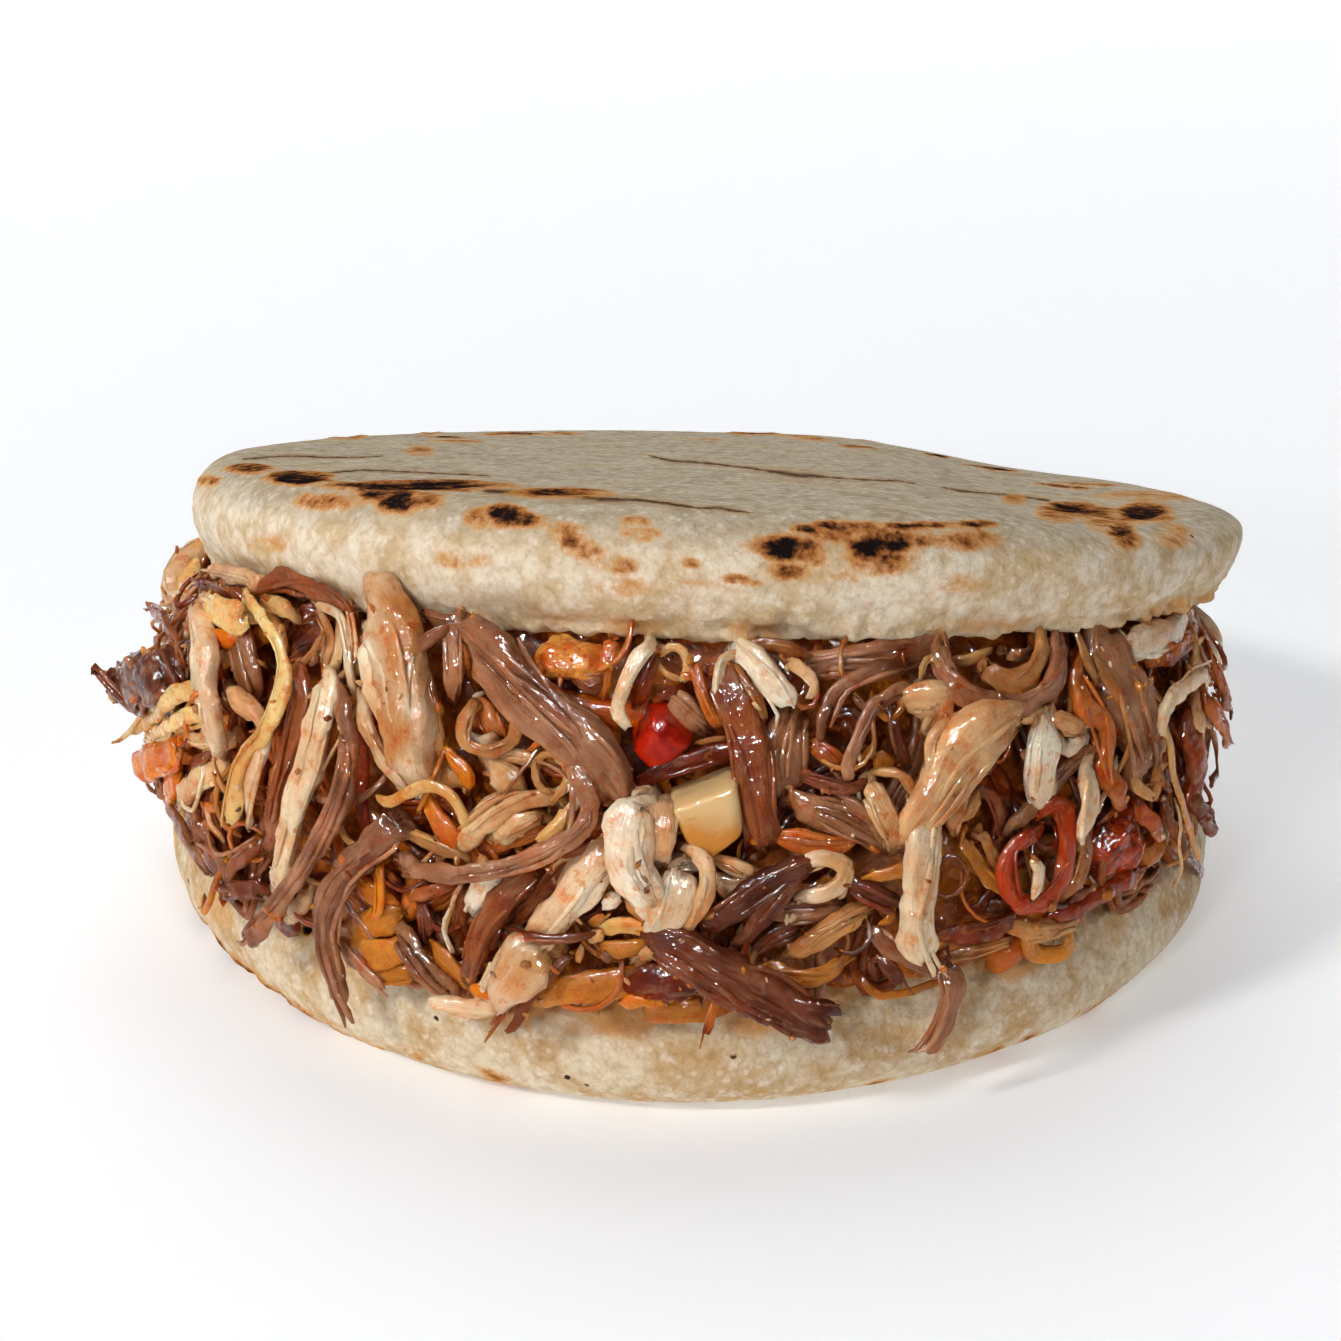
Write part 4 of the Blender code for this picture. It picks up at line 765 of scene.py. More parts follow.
class Nodes:
    """Short calls for wiring up a material."""

    def __init__(self, name):
        self.finish = bpy.data.materials.new(name)
        self.finish.use_nodes = True
        self.tree = self.finish.node_tree
        self.shader = self.tree.nodes["Principled BSDF"]

    def put(self, socket, value):
        """Links a socket, or sets a number or colour."""
        if isinstance(value, bpy.types.NodeSocket):
            self.tree.links.new(value, socket)
        elif isinstance(value, (tuple, list, np.ndarray)) and socket.type == "RGBA":
            socket.default_value = (*[float(v) for v in value], 1.0)[:4]
        else:
            socket.default_value = value

    def node(self, kind, output, inputs, **settings):
        made = self.tree.nodes.new(kind)
        for key, value in settings.items():
            setattr(made, key, value)
        for key, value in inputs.items():
            self.put(made.inputs[key], value)
        return made.outputs[output]

    def math(self, operation, first, second=0.0):
        return self.node("ShaderNodeMath", 0, {0: first, 1: second}, operation=operation)

    def times(self, first, second):
        return self.math("MULTIPLY", first, second)

    def plus(self, first, second):
        return self.math("ADD", first, second)

    def centred(self, share, width=1.0):
        """A value from 0 to 1 moved to the middle and made as wide as given."""
        return self.times(self.math("SUBTRACT", share, 0.5), width)

    def between(self, low, high, value):
        """0 below low, 1 above high, and an S-curve between."""
        inputs = {"Value": value, "From Min": low, "From Max": high}
        return self.node("ShaderNodeMapRange", 0, inputs, interpolation_type="SMOOTHSTEP")

    def mix(self, share, first, second, blend="MIX"):
        made = self.tree.nodes.new("ShaderNodeMix")
        made.data_type = "RGBA"
        made.blend_type = blend
        self.put(made.inputs[0], share)
        self.put(made.inputs[6], first)
        self.put(made.inputs[7], second)
        return made.outputs[2]

    def over(self, colour, shade, share, strength=1.0):
        """The colour with a shade laid over it, by a share from 0 to 1 times a strength."""
        return self.mix(self.times(share, strength), colour, linear(shade))

    def tinted(self, colour, tint, share, strength=1.0):
        """The colour, part of the way to itself times a tint."""
        whole = self.mix(1.0, colour, linear(tint), "MULTIPLY")
        return self.mix(self.times(share, strength), colour, whole)

    def attribute(self, title, output="Fac"):
        return self.node("ShaderNodeAttribute", output, {}, attribute_name=title)

    def place(self):
        """The object's own coordinates in millimetres."""
        spot = self.tree.nodes.new("ShaderNodeTexCoord").outputs["Object"]
        return self.scaled(spot, (1 / MM,) * 3)

    def parts(self, vector):
        """The x, y and z of a vector."""
        made = self.tree.nodes.new("ShaderNodeSeparateXYZ")
        self.put(made.inputs[0], vector)
        return tuple(made.outputs)

    def scaled(self, vector, times):
        made = self.tree.nodes.new("ShaderNodeVectorMath")
        made.operation = "MULTIPLY"
        self.put(made.inputs[0], vector)
        made.inputs[1].default_value = times
        return made.outputs[0]

    def noise(self, vector, size, detail=3.0, roughness=0.6):
        inputs = {"Vector": vector, "Scale": 1.0 / size, "Detail": detail, "Roughness": roughness}
        return self.node("ShaderNodeTexNoise", "Fac", inputs)

    def cells(self, vector, size):
        """The distance from the nearest cell's middle."""
        inputs = {"Vector": vector, "Scale": 1.0 / size}
        return self.node("ShaderNodeTexVoronoi", "Distance", inputs, feature="F1")

    def bump(self, height, depth, under=None):
        """Relief of the given depth in millimetres."""
        made = self.tree.nodes.new("ShaderNodeBump")
        made.inputs["Distance"].default_value = depth * MM
        self.put(made.inputs["Height"], height)
        if under:
            self.put(made.inputs["Normal"], under)
        return made.outputs["Normal"]

    def wear(self, **inputs):
        """Sets the shader's sockets by name, with underscores for spaces."""
        for key, value in inputs.items():
            self.put(self.shader.inputs[key.replace("_", " ")], value)
        return self.finish


# The burn's steps outwards in: shade, the levels from which to which it comes in, and how strongly
BURN_STEPS = (
    ((214, 150, 78), 0.02, 0.34, 0.74),
    ((168, 98, 44), 0.26, 0.62, 0.85),
    ((86, 50, 32), 0.5, 0.84, 0.92),
    ((29, 22, 21), 0.7, 0.98, 1.0),
)

# A crack's brown border and its dark middle: half thickness for the line's own, strength and shade
CRACK_STEPS = ((3.0, 0.5, (176, 134, 88)), (1.0, 0.92, (70, 42, 24)))


def burnt_over(n, spot, colour):
    """Golden, then brown, then black, where the skin met the griddle."""
    burn = n.attribute("burn")
    wide = n.centred(n.noise(spot, 2.6), 1.3)
    fine = n.centred(n.noise(spot, 0.7, 5.0, 0.7))
    level = n.plus(burn, n.times(n.plus(wide, fine), n.between(0.02, 0.3, burn)))
    for shade, low, high, strength in BURN_STEPS:
        colour = n.over(colour, shade, n.between(low, high, level), strength)
    return colour


def cracks_over(n, spot, colour):
    """Thin baked lines, from each line's own distance and thickness."""
    uneven = n.centred(n.noise(spot, 1.4, 4.0, 0.7), 5.0)
    broken = n.between(0.22, 0.42, n.noise(spot, 1.1, 3.0, 0.7))
    for index in range(len(CRACKS)):
        beside, shown, thick = n.parts(n.attribute(f"crack_{index}", "Vector"))
        away = n.math("ABSOLUTE", n.plus(beside, uneven))
        for size, strength, shade in CRACK_STEPS:
            soft = n.times(thick, size)
            inputs = {"Value": away, "From Min": soft, "From Max": n.times(soft, 0.25)}
            near = n.node("ShaderNodeMapRange", 0, inputs)
            colour = n.over(colour, shade, n.times(n.times(near, shown), broken), strength)
    return colour


def inner_glow(weight, radius, depth):
    """Shader values for light that goes in and comes out nearby, with its depth in millimetres."""
    return {"Subsurface_Weight": weight, "Subsurface_Radius": radius, "Subsurface_Scale": depth * MM}


def oil_film(weight, roughness):
    """Shader values for a thin glossy film over a surface that has next to no gloss of its own."""
    film = {"Coat_Weight": weight, "Coat_Roughness": roughness, "Coat_IOR": FILM_IOR}
    return {**film, "Specular_IOR_Level": GLOSS_UNDER_FILM}


def dough_finish(name, crust, pale, tan):
    """Griddled corn dough: pale mealy crumb, a thin greyish skin, toasted patches and burnt marks."""
    n = Nodes(name)
    spot = n.place()
    patch = n.noise(spot, 2.0)
    mealy = n.noise(spot, 0.6, 3.0, 0.65)
    grain = n.cells(spot, 1.25)
    side = n.mix(n.between(0.40, 0.62, n.noise(spot, 5.5)), linear(pale), linear(tan))
    side = n.over(side, (242, 234, 218), n.between(0.55, 0.68, patch), 0.6)
    top = n.tinted(linear(crust), (228, 220, 210), n.between(0.4, 0.62, patch))
    top = n.over(top, (204, 184, 146), n.between(0.5, 0.66, n.noise(spot, 8.0, 2.0)), 0.5)
    top = n.over(top, (216, 210, 196), n.between(0.5, 0.62, n.noise(spot, 4.0)), 0.3)
    colour = n.mix(n.between(0.3, 0.95, n.attribute("skin")), side, top)
    edge = n.plus(n.attribute("raw"), n.centred(patch, 0.7))
    colour = n.over(colour, (216, 184, 136), n.between(0.55, 1.0, edge), 0.45)
    colour = n.tinted(colour, (228, 212, 190), n.between(0.46, 0.66, mealy), 0.5)
    colour = n.over(colour, (248, 240, 222), n.between(0.34, 0.12, grain), 0.34)
    colour = n.tinted(colour, (222, 200, 170), n.between(0.5, 0.8, grain), 0.35)
    toasted = n.plus(n.attribute("toast"), n.centred(patch, 0.9))
    colour = n.over(colour, (218, 160, 92), n.between(0.3, 0.95, toasted), 0.6)
    oily = n.plus(n.attribute("stain"), n.centred(n.noise(spot, 1.8, 4.0)))
    colour = n.over(colour, (214, 146, 72), n.between(0.3, 0.85, oily), 0.7)
    colour = burnt_over(n, spot, cracks_over(n, spot, colour))
    dots = n.between(0.12, 0.07, n.cells(spot, 3.4))
    colour = n.over(colour, (70, 50, 36), n.times(dots, n.between(0.6, 0.66, n.noise(spot, 2.9, 1.0))))
    relief = n.bump(grain, -0.14, n.bump(mealy, 0.13, n.bump(n.noise(spot, 0.16, 2.0), 0.03)))
    roughness = n.math("SUBTRACT", 0.6, n.times(n.attribute("raw"), 0.14))
    glow = inner_glow(0.3, (1.0, 0.72, 0.42), 1.8)
    return n.wear(Base_Color=colour, Roughness=roughness, Specular_IOR_Level=0.0, Normal=relief, **glow)


def shred_finish(name, roughness, coat, subsurface, flecks):
    """Wet meat: each shred's own colour, fine fibres along it, and a thin glossy film of oil."""
    n = Nodes(name)
    along = n.attribute("fibre", "Vector")
    streaks = n.noise(n.scaled(along, (1.0, 0.2, 1.0)), 0.26)
    broad = n.noise(n.scaled(along, (1.0, 0.3, 1.0)), 1.2)
    spot = n.place()
    uneven = n.noise(spot, 1.1, 1.0, 0.4)
    colour = n.attribute("tint", "Color")
    colour = n.tinted(colour, (206, 160, 122), n.between(0.48, 0.7, streaks), 0.28)
    colour = n.over(colour, (238, 196, 140), n.between(0.5, 0.3, broad), 0.12)
    oiled = n.between(0.52, 0.7, n.noise(spot, 2.2, 4.0, 0.65))
    colour = n.tinted(colour, (250, 182, 112), oiled, 0.8)
    soaked = n.between(0.56, 0.68, n.noise(spot, 1.3, 4.0, 0.7))
    colour = n.tinted(colour, (236, 160, 96), soaked, 0.7)
    colour = n.over(colour, (206, 112, 34), n.between(0.6, 0.7, n.noise(spot, 0.9, 1.5, 0.5)), flecks)
    wet = n.plus(roughness, n.centred(n.noise(spot, 1.6), 0.3))
    relief = n.bump(streaks, 0.12, n.bump(n.noise(spot, 0.3), 0.07, n.bump(uneven, 0.25)))
    film_relief = n.bump(uneven, 0.5, n.bump(n.noise(spot, 0.45, 1.0, 0.5), 0.07))
    pooled = n.between(0.38, 0.58, n.noise(spot, 2.8))
    covered = n.times(n.plus(0.3, n.times(pooled, 0.7)), coat)
    film, glow = oil_film(covered, 0.06), inner_glow(subsurface, (1.0, 0.5, 0.25), 1.3)
    return n.wear(Base_Color=colour, Roughness=wet, Normal=relief, Coat_Normal=film_relief, **film, **glow)


def outline(radius, azimuth, seed, flats):
    """The radius of a hand-shaped disc at an azimuth: nearly round, with soft flats."""
    turn = math.radians(azimuth)
    spot = Vector((math.sin(turn), -math.cos(turn), seed))
    reach = radius + OUTLINE_WOBBLE * noise.noise(spot * 1.3) + OUTLINE_RIPPLE * noise.noise(spot * 4.0)
    for middle, depth, spread in flats:
        away = (azimuth - middle + 180) % 360 - 180
        reach -= depth * math.exp(-((away / spread) ** 2))
    return reach


def bread_profile(thick):
    """(inset, height, rawness) from the skin face's edge down and round to the cut face."""
    skin = thick / 2
    widest = -skin + thick * WIDEST_SHARE
    found = []
    for step in range(SHOULDER_RINGS):
        turn = math.pi / 2 * step / SHOULDER_RINGS
        found.append((SHOULDER_INSET * (1 - math.sin(turn)), widest + (skin - widest) * math.cos(turn), 0.0))
    for step in range(BELLY_RINGS):
        share = step / BELLY_RINGS
        found.append((CUT_INSET * share**2, widest + (-skin + LIP_ROUND - widest) * share, share))
    for step in range(LIP_RINGS + 1):
        turn = math.pi / 2 * step / LIP_RINGS
        rounding = LIP_ROUND * (1 - math.cos(turn))
        found.append((CUT_INSET + rounding, -skin + LIP_ROUND * (1 - math.sin(turn)), 1.0))
    return found


def disc_cap(reaches):
    """Evenly spread points over a disc: their x and y, its faces, and each rim point's index by column."""
    side = np.linspace(-1, 1, CAP_CELLS + 1)
    a, b = (grid.ravel() for grid in np.meshgrid(side, side, indexing="ij"))
    wide = np.abs(a) >= np.abs(b)
    far = np.where(wide, np.abs(a), np.abs(b))
    safe_a = np.where(a == 0, 1e-9, a)
    safe_b = np.where(b == 0, 1e-9, b)
    turn = np.where(wide, math.pi / 4 * b / safe_a, math.pi / 2 - math.pi / 4 * a / safe_b)
    turn = turn + np.where(np.where(wide, a, b) < 0, math.pi, 0.0)
    columns = np.mod(turn / math.tau * SIDE_COLUMNS, SIDE_COLUMNS)
    reach = np.interp(columns, np.arange(SIDE_COLUMNS + 1), np.append(reaches, reaches[0]))
    x, y = reach * far * np.sin(turn), -reach * far * np.cos(turn)
    index = np.arange((CAP_CELLS + 1) ** 2).reshape(CAP_CELLS + 1, -1)
    faces = np.stack([index[:-1, :-1], index[:-1, 1:], index[1:, 1:], index[1:, :-1]], axis=-1).reshape(-1, 4)
    rim = np.full(SIDE_COLUMNS, -1)
    edge = np.isclose(far, 1.0)
    rim[np.round(columns[edge]).astype(int) % SIDE_COLUMNS] = np.nonzero(edge)[0]
    return np.stack([x, y], axis=1), faces, rim


def bread_surface(radius, thick, seed, flats, sink):
    """Points, faces, rawness and skin share of one half, skin up, centred on its own middle."""
    skin = thick / 2
    widest = -skin + thick * WIDEST_SHARE
    azimuths = [360 * column / SIDE_COLUMNS for column in range(SIDE_COLUMNS)]
    edges = [outline(radius, azimuth, seed, flats) for azimuth in azimuths]
    profile = bread_profile(thick)
    flat, cap_faces, rim = disc_cap(np.array(edges) - SHOULDER_INSET)
    points = [(x, y, skin - sink * float(ramp(SINK_FROM, SINK_TO, x))) for x, y in flat]
    raw, skinned = [0.0] * len(points), [1.0] * len(points)
    rings = [rim]
    for inset, height, rawness in profile[1:]:
        rings.append(np.arange(SIDE_COLUMNS) + len(points))
        for azimuth, edge in zip(azimuths, edges):
            spot = Vector((*around(azimuth, 5.0), height / 5 + seed))
            relief = RELIEF * noise.noise(spot) + rawness * TORN_EDGE * noise.noise(spot * 2.2)
            fade = min(1.0, (SHOULDER_INSET - inset) / 1.5) if rawness == 0 else 1.0
            x, y = around(azimuth, edge - inset + relief * fade)
            above = max(height - widest, 0.0) / (skin - widest)
            points.append((x, y, height - sink * float(ramp(SINK_FROM, SINK_TO, x)) * above))
            raw.append(rawness)
            skinned.append(max(above, 0.0) ** 0.7)
    last = np.array(points)[rings[-1]]
    for step in range(1, CUT_RINGS + 1):
        share = 1 - step / (CUT_RINGS + 1)
        rings.append(np.arange(SIDE_COLUMNS) + len(points))
        points += [(x * share, y * share, z) for x, y, z in last]
        raw += [1.0] * SIDE_COLUMNS
        skinned += [0.0] * SIDE_COLUMNS
    points.append((0.0, 0.0, -skin))
    raw.append(1.0)
    skinned.append(0.0)
    quads = [cap_faces[:, ::-1]]
    for upper, lower in zip(rings, rings[1:]):
        quads.append(np.stack([upper, lower, np.roll(lower, -1), np.roll(upper, -1)], axis=1))
    centre = np.full(SIDE_COLUMNS, len(points) - 1)
    fan = np.stack([rings[-1], centre, np.roll(rings[-1], -1)], axis=1)
    return np.array(points), [np.concatenate(quads), fan], np.array(raw), np.array(skinned)


def dough_relief(points, raw, skinned):
    """How far each point of the dough stands out: soft waves, corn grains, and a crumbly torn edge."""
    away, value = grains(points, GRAIN_SIZE, 31)
    grain = (0.55 - np.clip(away, 0, 1)) * 0.22 + (value - 0.5) * 0.10
    fine_away, fine_value = grains(points, CRUMB_SIZE, 57)
    crumb = (0.6 - np.clip(fine_away, 0, 1)) * 0.9 + (fine_value - 0.5) * 0.9
    waves = 0.16 * layered(points, 11.0, 3, 3)
    torn = ramp(0.45, 1.0, raw + 0.25 * lumps(points, 4.0, 9))
    side = 1 - skinned
    notch = -1.1 * ramp(0.45, 0.8, layered(points, 3.2, 77, 2)) * ramp(0.75, 1.0, raw)
    return waves + grain * (0.15 + 0.4 * side) + crumb * torn * 0.7 + notch - 0.10


def spot_strength(points, marks):
    """The strongest mark at each point, from marks given as picture position, half sizes and strength."""
    places = pictured(points)
    ragged = 0.30 * layered(points, 2.6, 201, 4)
    total = np.zeros(len(points))
    for x, y, wide, tall, strength in marks:
        away = np.hypot((places[:, 0] - x) / wide, (places[:, 1] - y) / tall)
        total = np.maximum(total, strength * ramp(2.0, 0.45, away + ragged))
    return total


def crack_field(points, line):
    """Signed distance in pixels from a picture line, how strongly it shows, and its half thickness."""
    places = pictured(points)
    spots = np.array(line, float)
    best = np.full(len(points), 99.0)
    signed = np.full(len(points), 99.0)
    thick = np.full(len(points), 0.5)
    for start, end in zip(spots, spots[1:]):
        run = end[:2] - start[:2]
        share = ((places - start[:2]) @ run) / (run @ run)
        held = np.clip(share, 0, 1)
        gap = places - start[:2] - held[:, None] * run
        away = np.linalg.norm(gap, axis=1)
        side = np.sign(run[0] * gap[:, 1] - run[1] * gap[:, 0])
        closer = away < best
        best = np.where(closer, away, best)
        signed = np.where(closer, side * away, signed)
        thick = np.where(closer, start[2] + held * (end[2] - start[2]), thick)
    shown = ramp(14.0, 9.0, best)
    return np.stack([signed, shown, thick], axis=1)


def seeded_marks(points):
    """Burnt spots on the far side of the skin, where the picture shows none."""
    draw = np.random.default_rng(FAR_MARKS_SEED)
    total = np.zeros(len(points))
    ragged = 0.42 * layered(points, 3.0, FAR_MARKS_SEED, 4)
    for _ in range(FAR_MARKS):
        azimuth = math.radians(draw.uniform(*FAR_MARKS_AZIMUTHS))
        reach = draw.uniform(0.62, 0.97) * UPPER_RADIUS
        middle = np.array([reach * math.sin(azimuth), -reach * math.cos(azimuth)])
        size = draw.uniform(1.6, 4.6) * np.array([1.0, draw.uniform(0.6, 1.2)])
        away = np.linalg.norm((points[:, :2] - middle) / size, axis=1)
        total = np.maximum(total, draw.uniform(0.4, 1.0) * ramp(1.4, 0.3, away + ragged))
    return total


def burn_hollow(burn):
    """Burnt skin is blistered: raised at its rim and sunken inside."""
    return BURN_RIM * ramp(0.15, 0.5, burn) - BURN_SUNK * ramp(0.55, 0.95, burn)


def make_upper_bread():
    shape = bread_surface(UPPER_RADIUS, UPPER_THICK, UPPER_SEED, UPPER_FLATS, SINK_DEPTH)
    local, faces, raw, skinned = shape
    place = np.array(UPPER_PLACE)
    points = local @ place[:3, :3].T + place[:3, 3]
    normals = vertex_normals(points, faces)
    outer = ramp(0.0, 0.25, skinned + (points[:, 1] < 0) * 0.3)
    burn = spot_strength(points, BURNS) * ramp(-0.2, 0.2, normals[:, 2] + 0.1)
    burn = np.maximum(burn, seeded_marks(local) * ramp(0.1, 0.5, skinned))
    band = ramp(0.1, 0.5, skinned) * ramp(1.0, 0.75, skinned)
    toast = 0.6 * band * ramp(-0.1, 0.6, layered(points, 8.0, 41, 3))
    points = points + normals * (dough_relief(local, raw, skinned) + burn_hollow(burn) * 0.6)[:, None]
    floats = {"skin": skinned * outer, "burn": burn, "toast": toast, "raw": raw}
    floats["stain"] = ramp(0.55, 1.0, raw) * ramp(0.0, 0.6, 0.25 + layered(points, 6.0, 83, 2)) * 0.7
    for index, line in enumerate(CRACKS):
        floats[f"crack_{index}"] = crack_field(points, line)
        floats[f"crack_{index}"][:, 1] *= normals[:, 2] > 0.3
    finish = dough_finish("upper_dough", (196, 184, 162), (236, 222, 198), (214, 188, 148))
    obj = add_object("upper_bread", points, faces, finish, floats)
    finish_piece(obj, "upper_corn_dough", "arepa_upper")


def make_lower_bread():
    shape = bread_surface(LOWER_RADIUS, LOWER_THICK, LOWER_SEED, LOWER_FLATS, 0.0)
    local, faces, raw, skinned = shape
    points = local * np.array([1.0, 1.0, -1.0])
    faces = [np.asarray(some)[:, ::-1] for some in faces]
    points[:, 2] += LOWER_THICK / 2
    normals = vertex_normals(points, faces)
    places = pictured(points)
    near = ramp(0.2, 0.7, skinned) * ramp(5.5, 1.2, points[:, 2])
    burn = 0.75 * near * ramp(0.1, 0.6, layered(points, 4.5, 19, 3))
    left = ramp(-20, -48, points[:, 0])
    crumbs = left * ramp(4.2, 1.0, points[:, 2]) * ramp(-0.1, 0.3, layered(points, 2.4, 29, 3))
    burn = np.maximum(burn, 0.95 * crumbs)
    x, y, size = SIDE_HOLE
    hole = np.hypot((places[:, 0] - x) / size, (places[:, 1] - y) / size)
    burn = np.maximum(burn, ramp(1.3, 0.7, hole) * (points[:, 1] < 0))
    toast = 0.5 * ramp(-0.2, 0.6, layered(points, 8.0, 23, 3)) * (0.5 + 0.7 * left) + 0.4 * left
    toast = np.maximum(toast * (1 - raw * 0.5), 0.9 * ramp(2.6, 1.2, hole) * (points[:, 1] < 0))
    stain = 1.15 * ramp(0.2, 0.85, raw) * ramp(-0.4, 0.4, layered(points, 7.0, 61, 2))
    relief = dough_relief(points, raw, skinned) * ramp(0.0, 1.2, points[:, 2]) - 0.5 * ramp(1.1, 0.5, hole)
    relief += 0.7 * crumbs * ramp(0.2, 0.9, points[:, 2])
    points = points + normals * relief[:, None]
    floats = {"skin": skinned * 0.35, "burn": burn, "toast": toast, "raw": raw, "stain": stain}
    for index in range(len(CRACKS)):
        floats[f"crack_{index}"] = np.zeros((len(points), 3)) + np.array([9.0, 0.0, 0.5])
    finish = dough_finish("lower_dough", (214, 190, 150), (228, 212, 182), (208, 176, 132))
    obj = add_object("lower_bread", points, faces, finish, floats)
    finish_piece(obj, "lower_corn_dough", "arepa_lower")


def finish_piece(obj, slot, *nodes):
    """Ties a piece to the one body and hides the nodes that it stands for. The slot is not used."""
    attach(obj, "root")
    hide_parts(*nodes)

# Shreds: the share of a strip's changes in width that shows, its sides, and how finely it is followed
BLUNT = 0.42
SIDES_PER_WIDTH = 5.6
FEWEST_SIDES = 8
MOST_SIDES = 36
CURVE_PARTS = 12
SHRED_STEP = 0.75
STRAND_STEP = 1.15

# Shreds: how far they wander off their line, how far their ends are torn and rounded, and their fibres
WANDER_SIZE = 4.0
WANDER_BASE = 0.10
WANDER_BY_WIDTH = 0.07
TORN_FOR_WIDTH = 0.6
TORN_FOR_LENGTH = 0.2
ROUND_FOR_WIDTH = 0.45
ROUND_FOR_LENGTH = 0.25
FIBRE_STRETCH = 7.0
FULL_GROOVE_WIDTH = 1.8

# Colour of shreds: how far shades and oil take over, sauce with painted shade deeper in the heap, and painted
# shade in the creases
SHADE_SIZE = 3.2
OIL_SIZE = 4.0
OIL_SHARE = 0.6
SAUCE_AND_SHADE_SHARE = 0.72
SAUCE_AND_SHADE_FROM = 0.6
SAUCE_AND_SHADE_TO = -3.0
# Painted shade in the shreds' grooves: its tint, and the groove depth from which it is full
CREASE_PAINTED_SHADE = (206, 158, 120)
FULL_CREASE_SHADE_DEPTH = 0.13


def smooth_line(spots, step):
    """A smooth curve through points, with points about every step of its length."""
    spots = np.asarray(spots, float)
    ends = np.concatenate([2 * spots[:1] - spots[1:2], spots, 2 * spots[-1:] - spots[-2:-1]])
    share = np.linspace(0, 1, CURVE_PARTS, endpoint=False)[:, None]
    pieces = []
    for a, b, c, d in zip(ends, ends[1:], ends[2:], ends[3:]):
        curve = 2 * b + (c - a) * share + (2 * a - 5 * b + 4 * c - d) * share**2
        pieces.append(0.5 * (curve + (3 * b - a - 3 * c + d) * share**3))
    dense = np.concatenate([*pieces, spots[-1:]])
    gone = np.concatenate([[0], np.cumsum(np.linalg.norm(np.diff(dense[:, :3], axis=0), axis=1))])
    count = max(4, int(gone[-1] / step) + 1)
    even = np.linspace(0, gone[-1], count)
    return np.stack([np.interp(even, gone, dense[:, k]) for k in range(dense.shape[1])], axis=1), even


def line_frames(line):
    """Unit vectors along a line, across it, and out of the filling, at each of its points."""
    along = np.gradient(line, axis=0)
    along /= np.maximum(np.linalg.norm(along, axis=1, keepdims=True), 1e-9)
    outward = line * np.array([1.0, 1.0, 0.0])
    across = np.cross(along, outward)
    size = np.linalg.norm(across, axis=1, keepdims=True)
    across = across / np.maximum(size, 1e-9)
    steady = size[:, 0] > 0.35 * np.linalg.norm(outward, axis=1)
    kept = across[np.argmax(steady)]
    for index in range(len(line)):
        if not steady[index]:
            across[index] = kept - along[index] * (kept @ along[index])
            across[index] /= max(np.linalg.norm(across[index]), 1e-9)
        kept = across[index]
    return along, across, np.cross(across, along)


class Heap:
    """Collects the shreds of one kind of piece until they are joined into one mesh."""

    def __init__(self):
        self.points, self.quads, self.fans = [], [], []
        self.tints, self.fibres = [], []
        self.count = 0

    def add(self, points, quads, fans, tints, fibres):
        self.points.append(points)
        self.quads.append(np.asarray(quads) + self.count)
        self.fans.append(np.asarray(fans) + self.count)
        self.tints.append(tints)
        self.fibres.append(fibres)
        self.count += len(points)

    def triangles(self):
        return sum(2 * len(quads) for quads in self.quads) + sum(len(fans) for fans in self.fans)

    def build(self, name, finish, slot, *nodes):
        points = np.concatenate(self.points)
        faces = [np.concatenate(self.quads), np.concatenate(self.fans)]
        floats = {"fibre": np.concatenate(self.fibres)}
        obj = add_object(name, points, faces, finish, floats, {"tint": np.concatenate(self.tints)})
        print(name, "has", self.triangles(), "triangles")
        finish_piece(obj, slot, *nodes)
        return obj


def depth_of(points):
    """How far each point lies outside the filling's plain surface."""
    out = np.hypot(points[:, 0], points[:, 1])
    way = points[:, :2] / np.maximum(out, 1e-9)[:, None]
    top = ceiling(*((UPPER_RADIUS - CUT_INSET) * way.T))
    share = np.clip((points[:, 2] - LOWER_THICK) / (top - LOWER_THICK), 0.0, PAST_TOP)
    return out - reach_for(share, (1 + way[:, 1]) / 2)


def shred_tints(kind, points, fibres, crease_shade, draw, deep):
    """The colour of each point of a shred: its own shade, streaks along it, oil, painted shade in its creases,
    and sauce with painted shade in its depths.
    """
    light, dark = (linear(colour) for colour in KIND_COLOURS[kind])
    streaks = lumps(fibres * np.array([1.0, 0.16, 1.0]), 0.8, 5)
    shade = draw.uniform(0.1, 0.7) + 0.8 * layered(points, SHADE_SIZE, 5, 3) + 0.22 * streaks
    shade = np.clip(shade, 0, 1)[:, None]
    base = (light * (1 - shade) + dark * shade) * draw.uniform(0.88, 1.1)
    # Painted shade: darker in the grooves along the shred
    crease = np.clip(crease_shade, 0, 1)[:, None] * min(1.0, KIND_SHAPES[kind][2] / FULL_CREASE_SHADE_DEPTH)
    base = base * (1 - crease * (1 - linear(CREASE_PAINTED_SHADE)))
    oil = OIL_SHARE * ramp(0.1, 0.6, layered(points, OIL_SIZE, 71, 3) + draw.uniform(-0.2, 0.15))[:, None]
    glazed = base * 0.5 + 0.5 * linear(OIL) * np.minimum(1.0, base.mean(1, keepdims=True) * 2.2 + 0.1)
    base = base * (1 - oil) + glazed * oil
    # Sauce with painted shade: darker sauce brown the deeper a point lies inside the heap
    sunk_sauce_and_shade = SAUCE_AND_SHADE_SHARE * ramp(SAUCE_AND_SHADE_FROM, SAUCE_AND_SHADE_TO, deep)[:, None]
    return base * (1 - sunk_sauce_and_shade) + linear(SAUCE_AND_SHADE) * sunk_sauce_and_shade


def blended(places, gone, values):
    """Values along a line, read off at many places along it."""
    return np.stack([np.interp(places, gone, column) for column in np.asarray(values).T], axis=-1)


def stacked(*values):
    """Points from x, y and z values on a grid, each either the grid's own or one for all."""
    return np.stack(np.broadcast_arrays(*values), axis=-1).reshape(-1, 3)


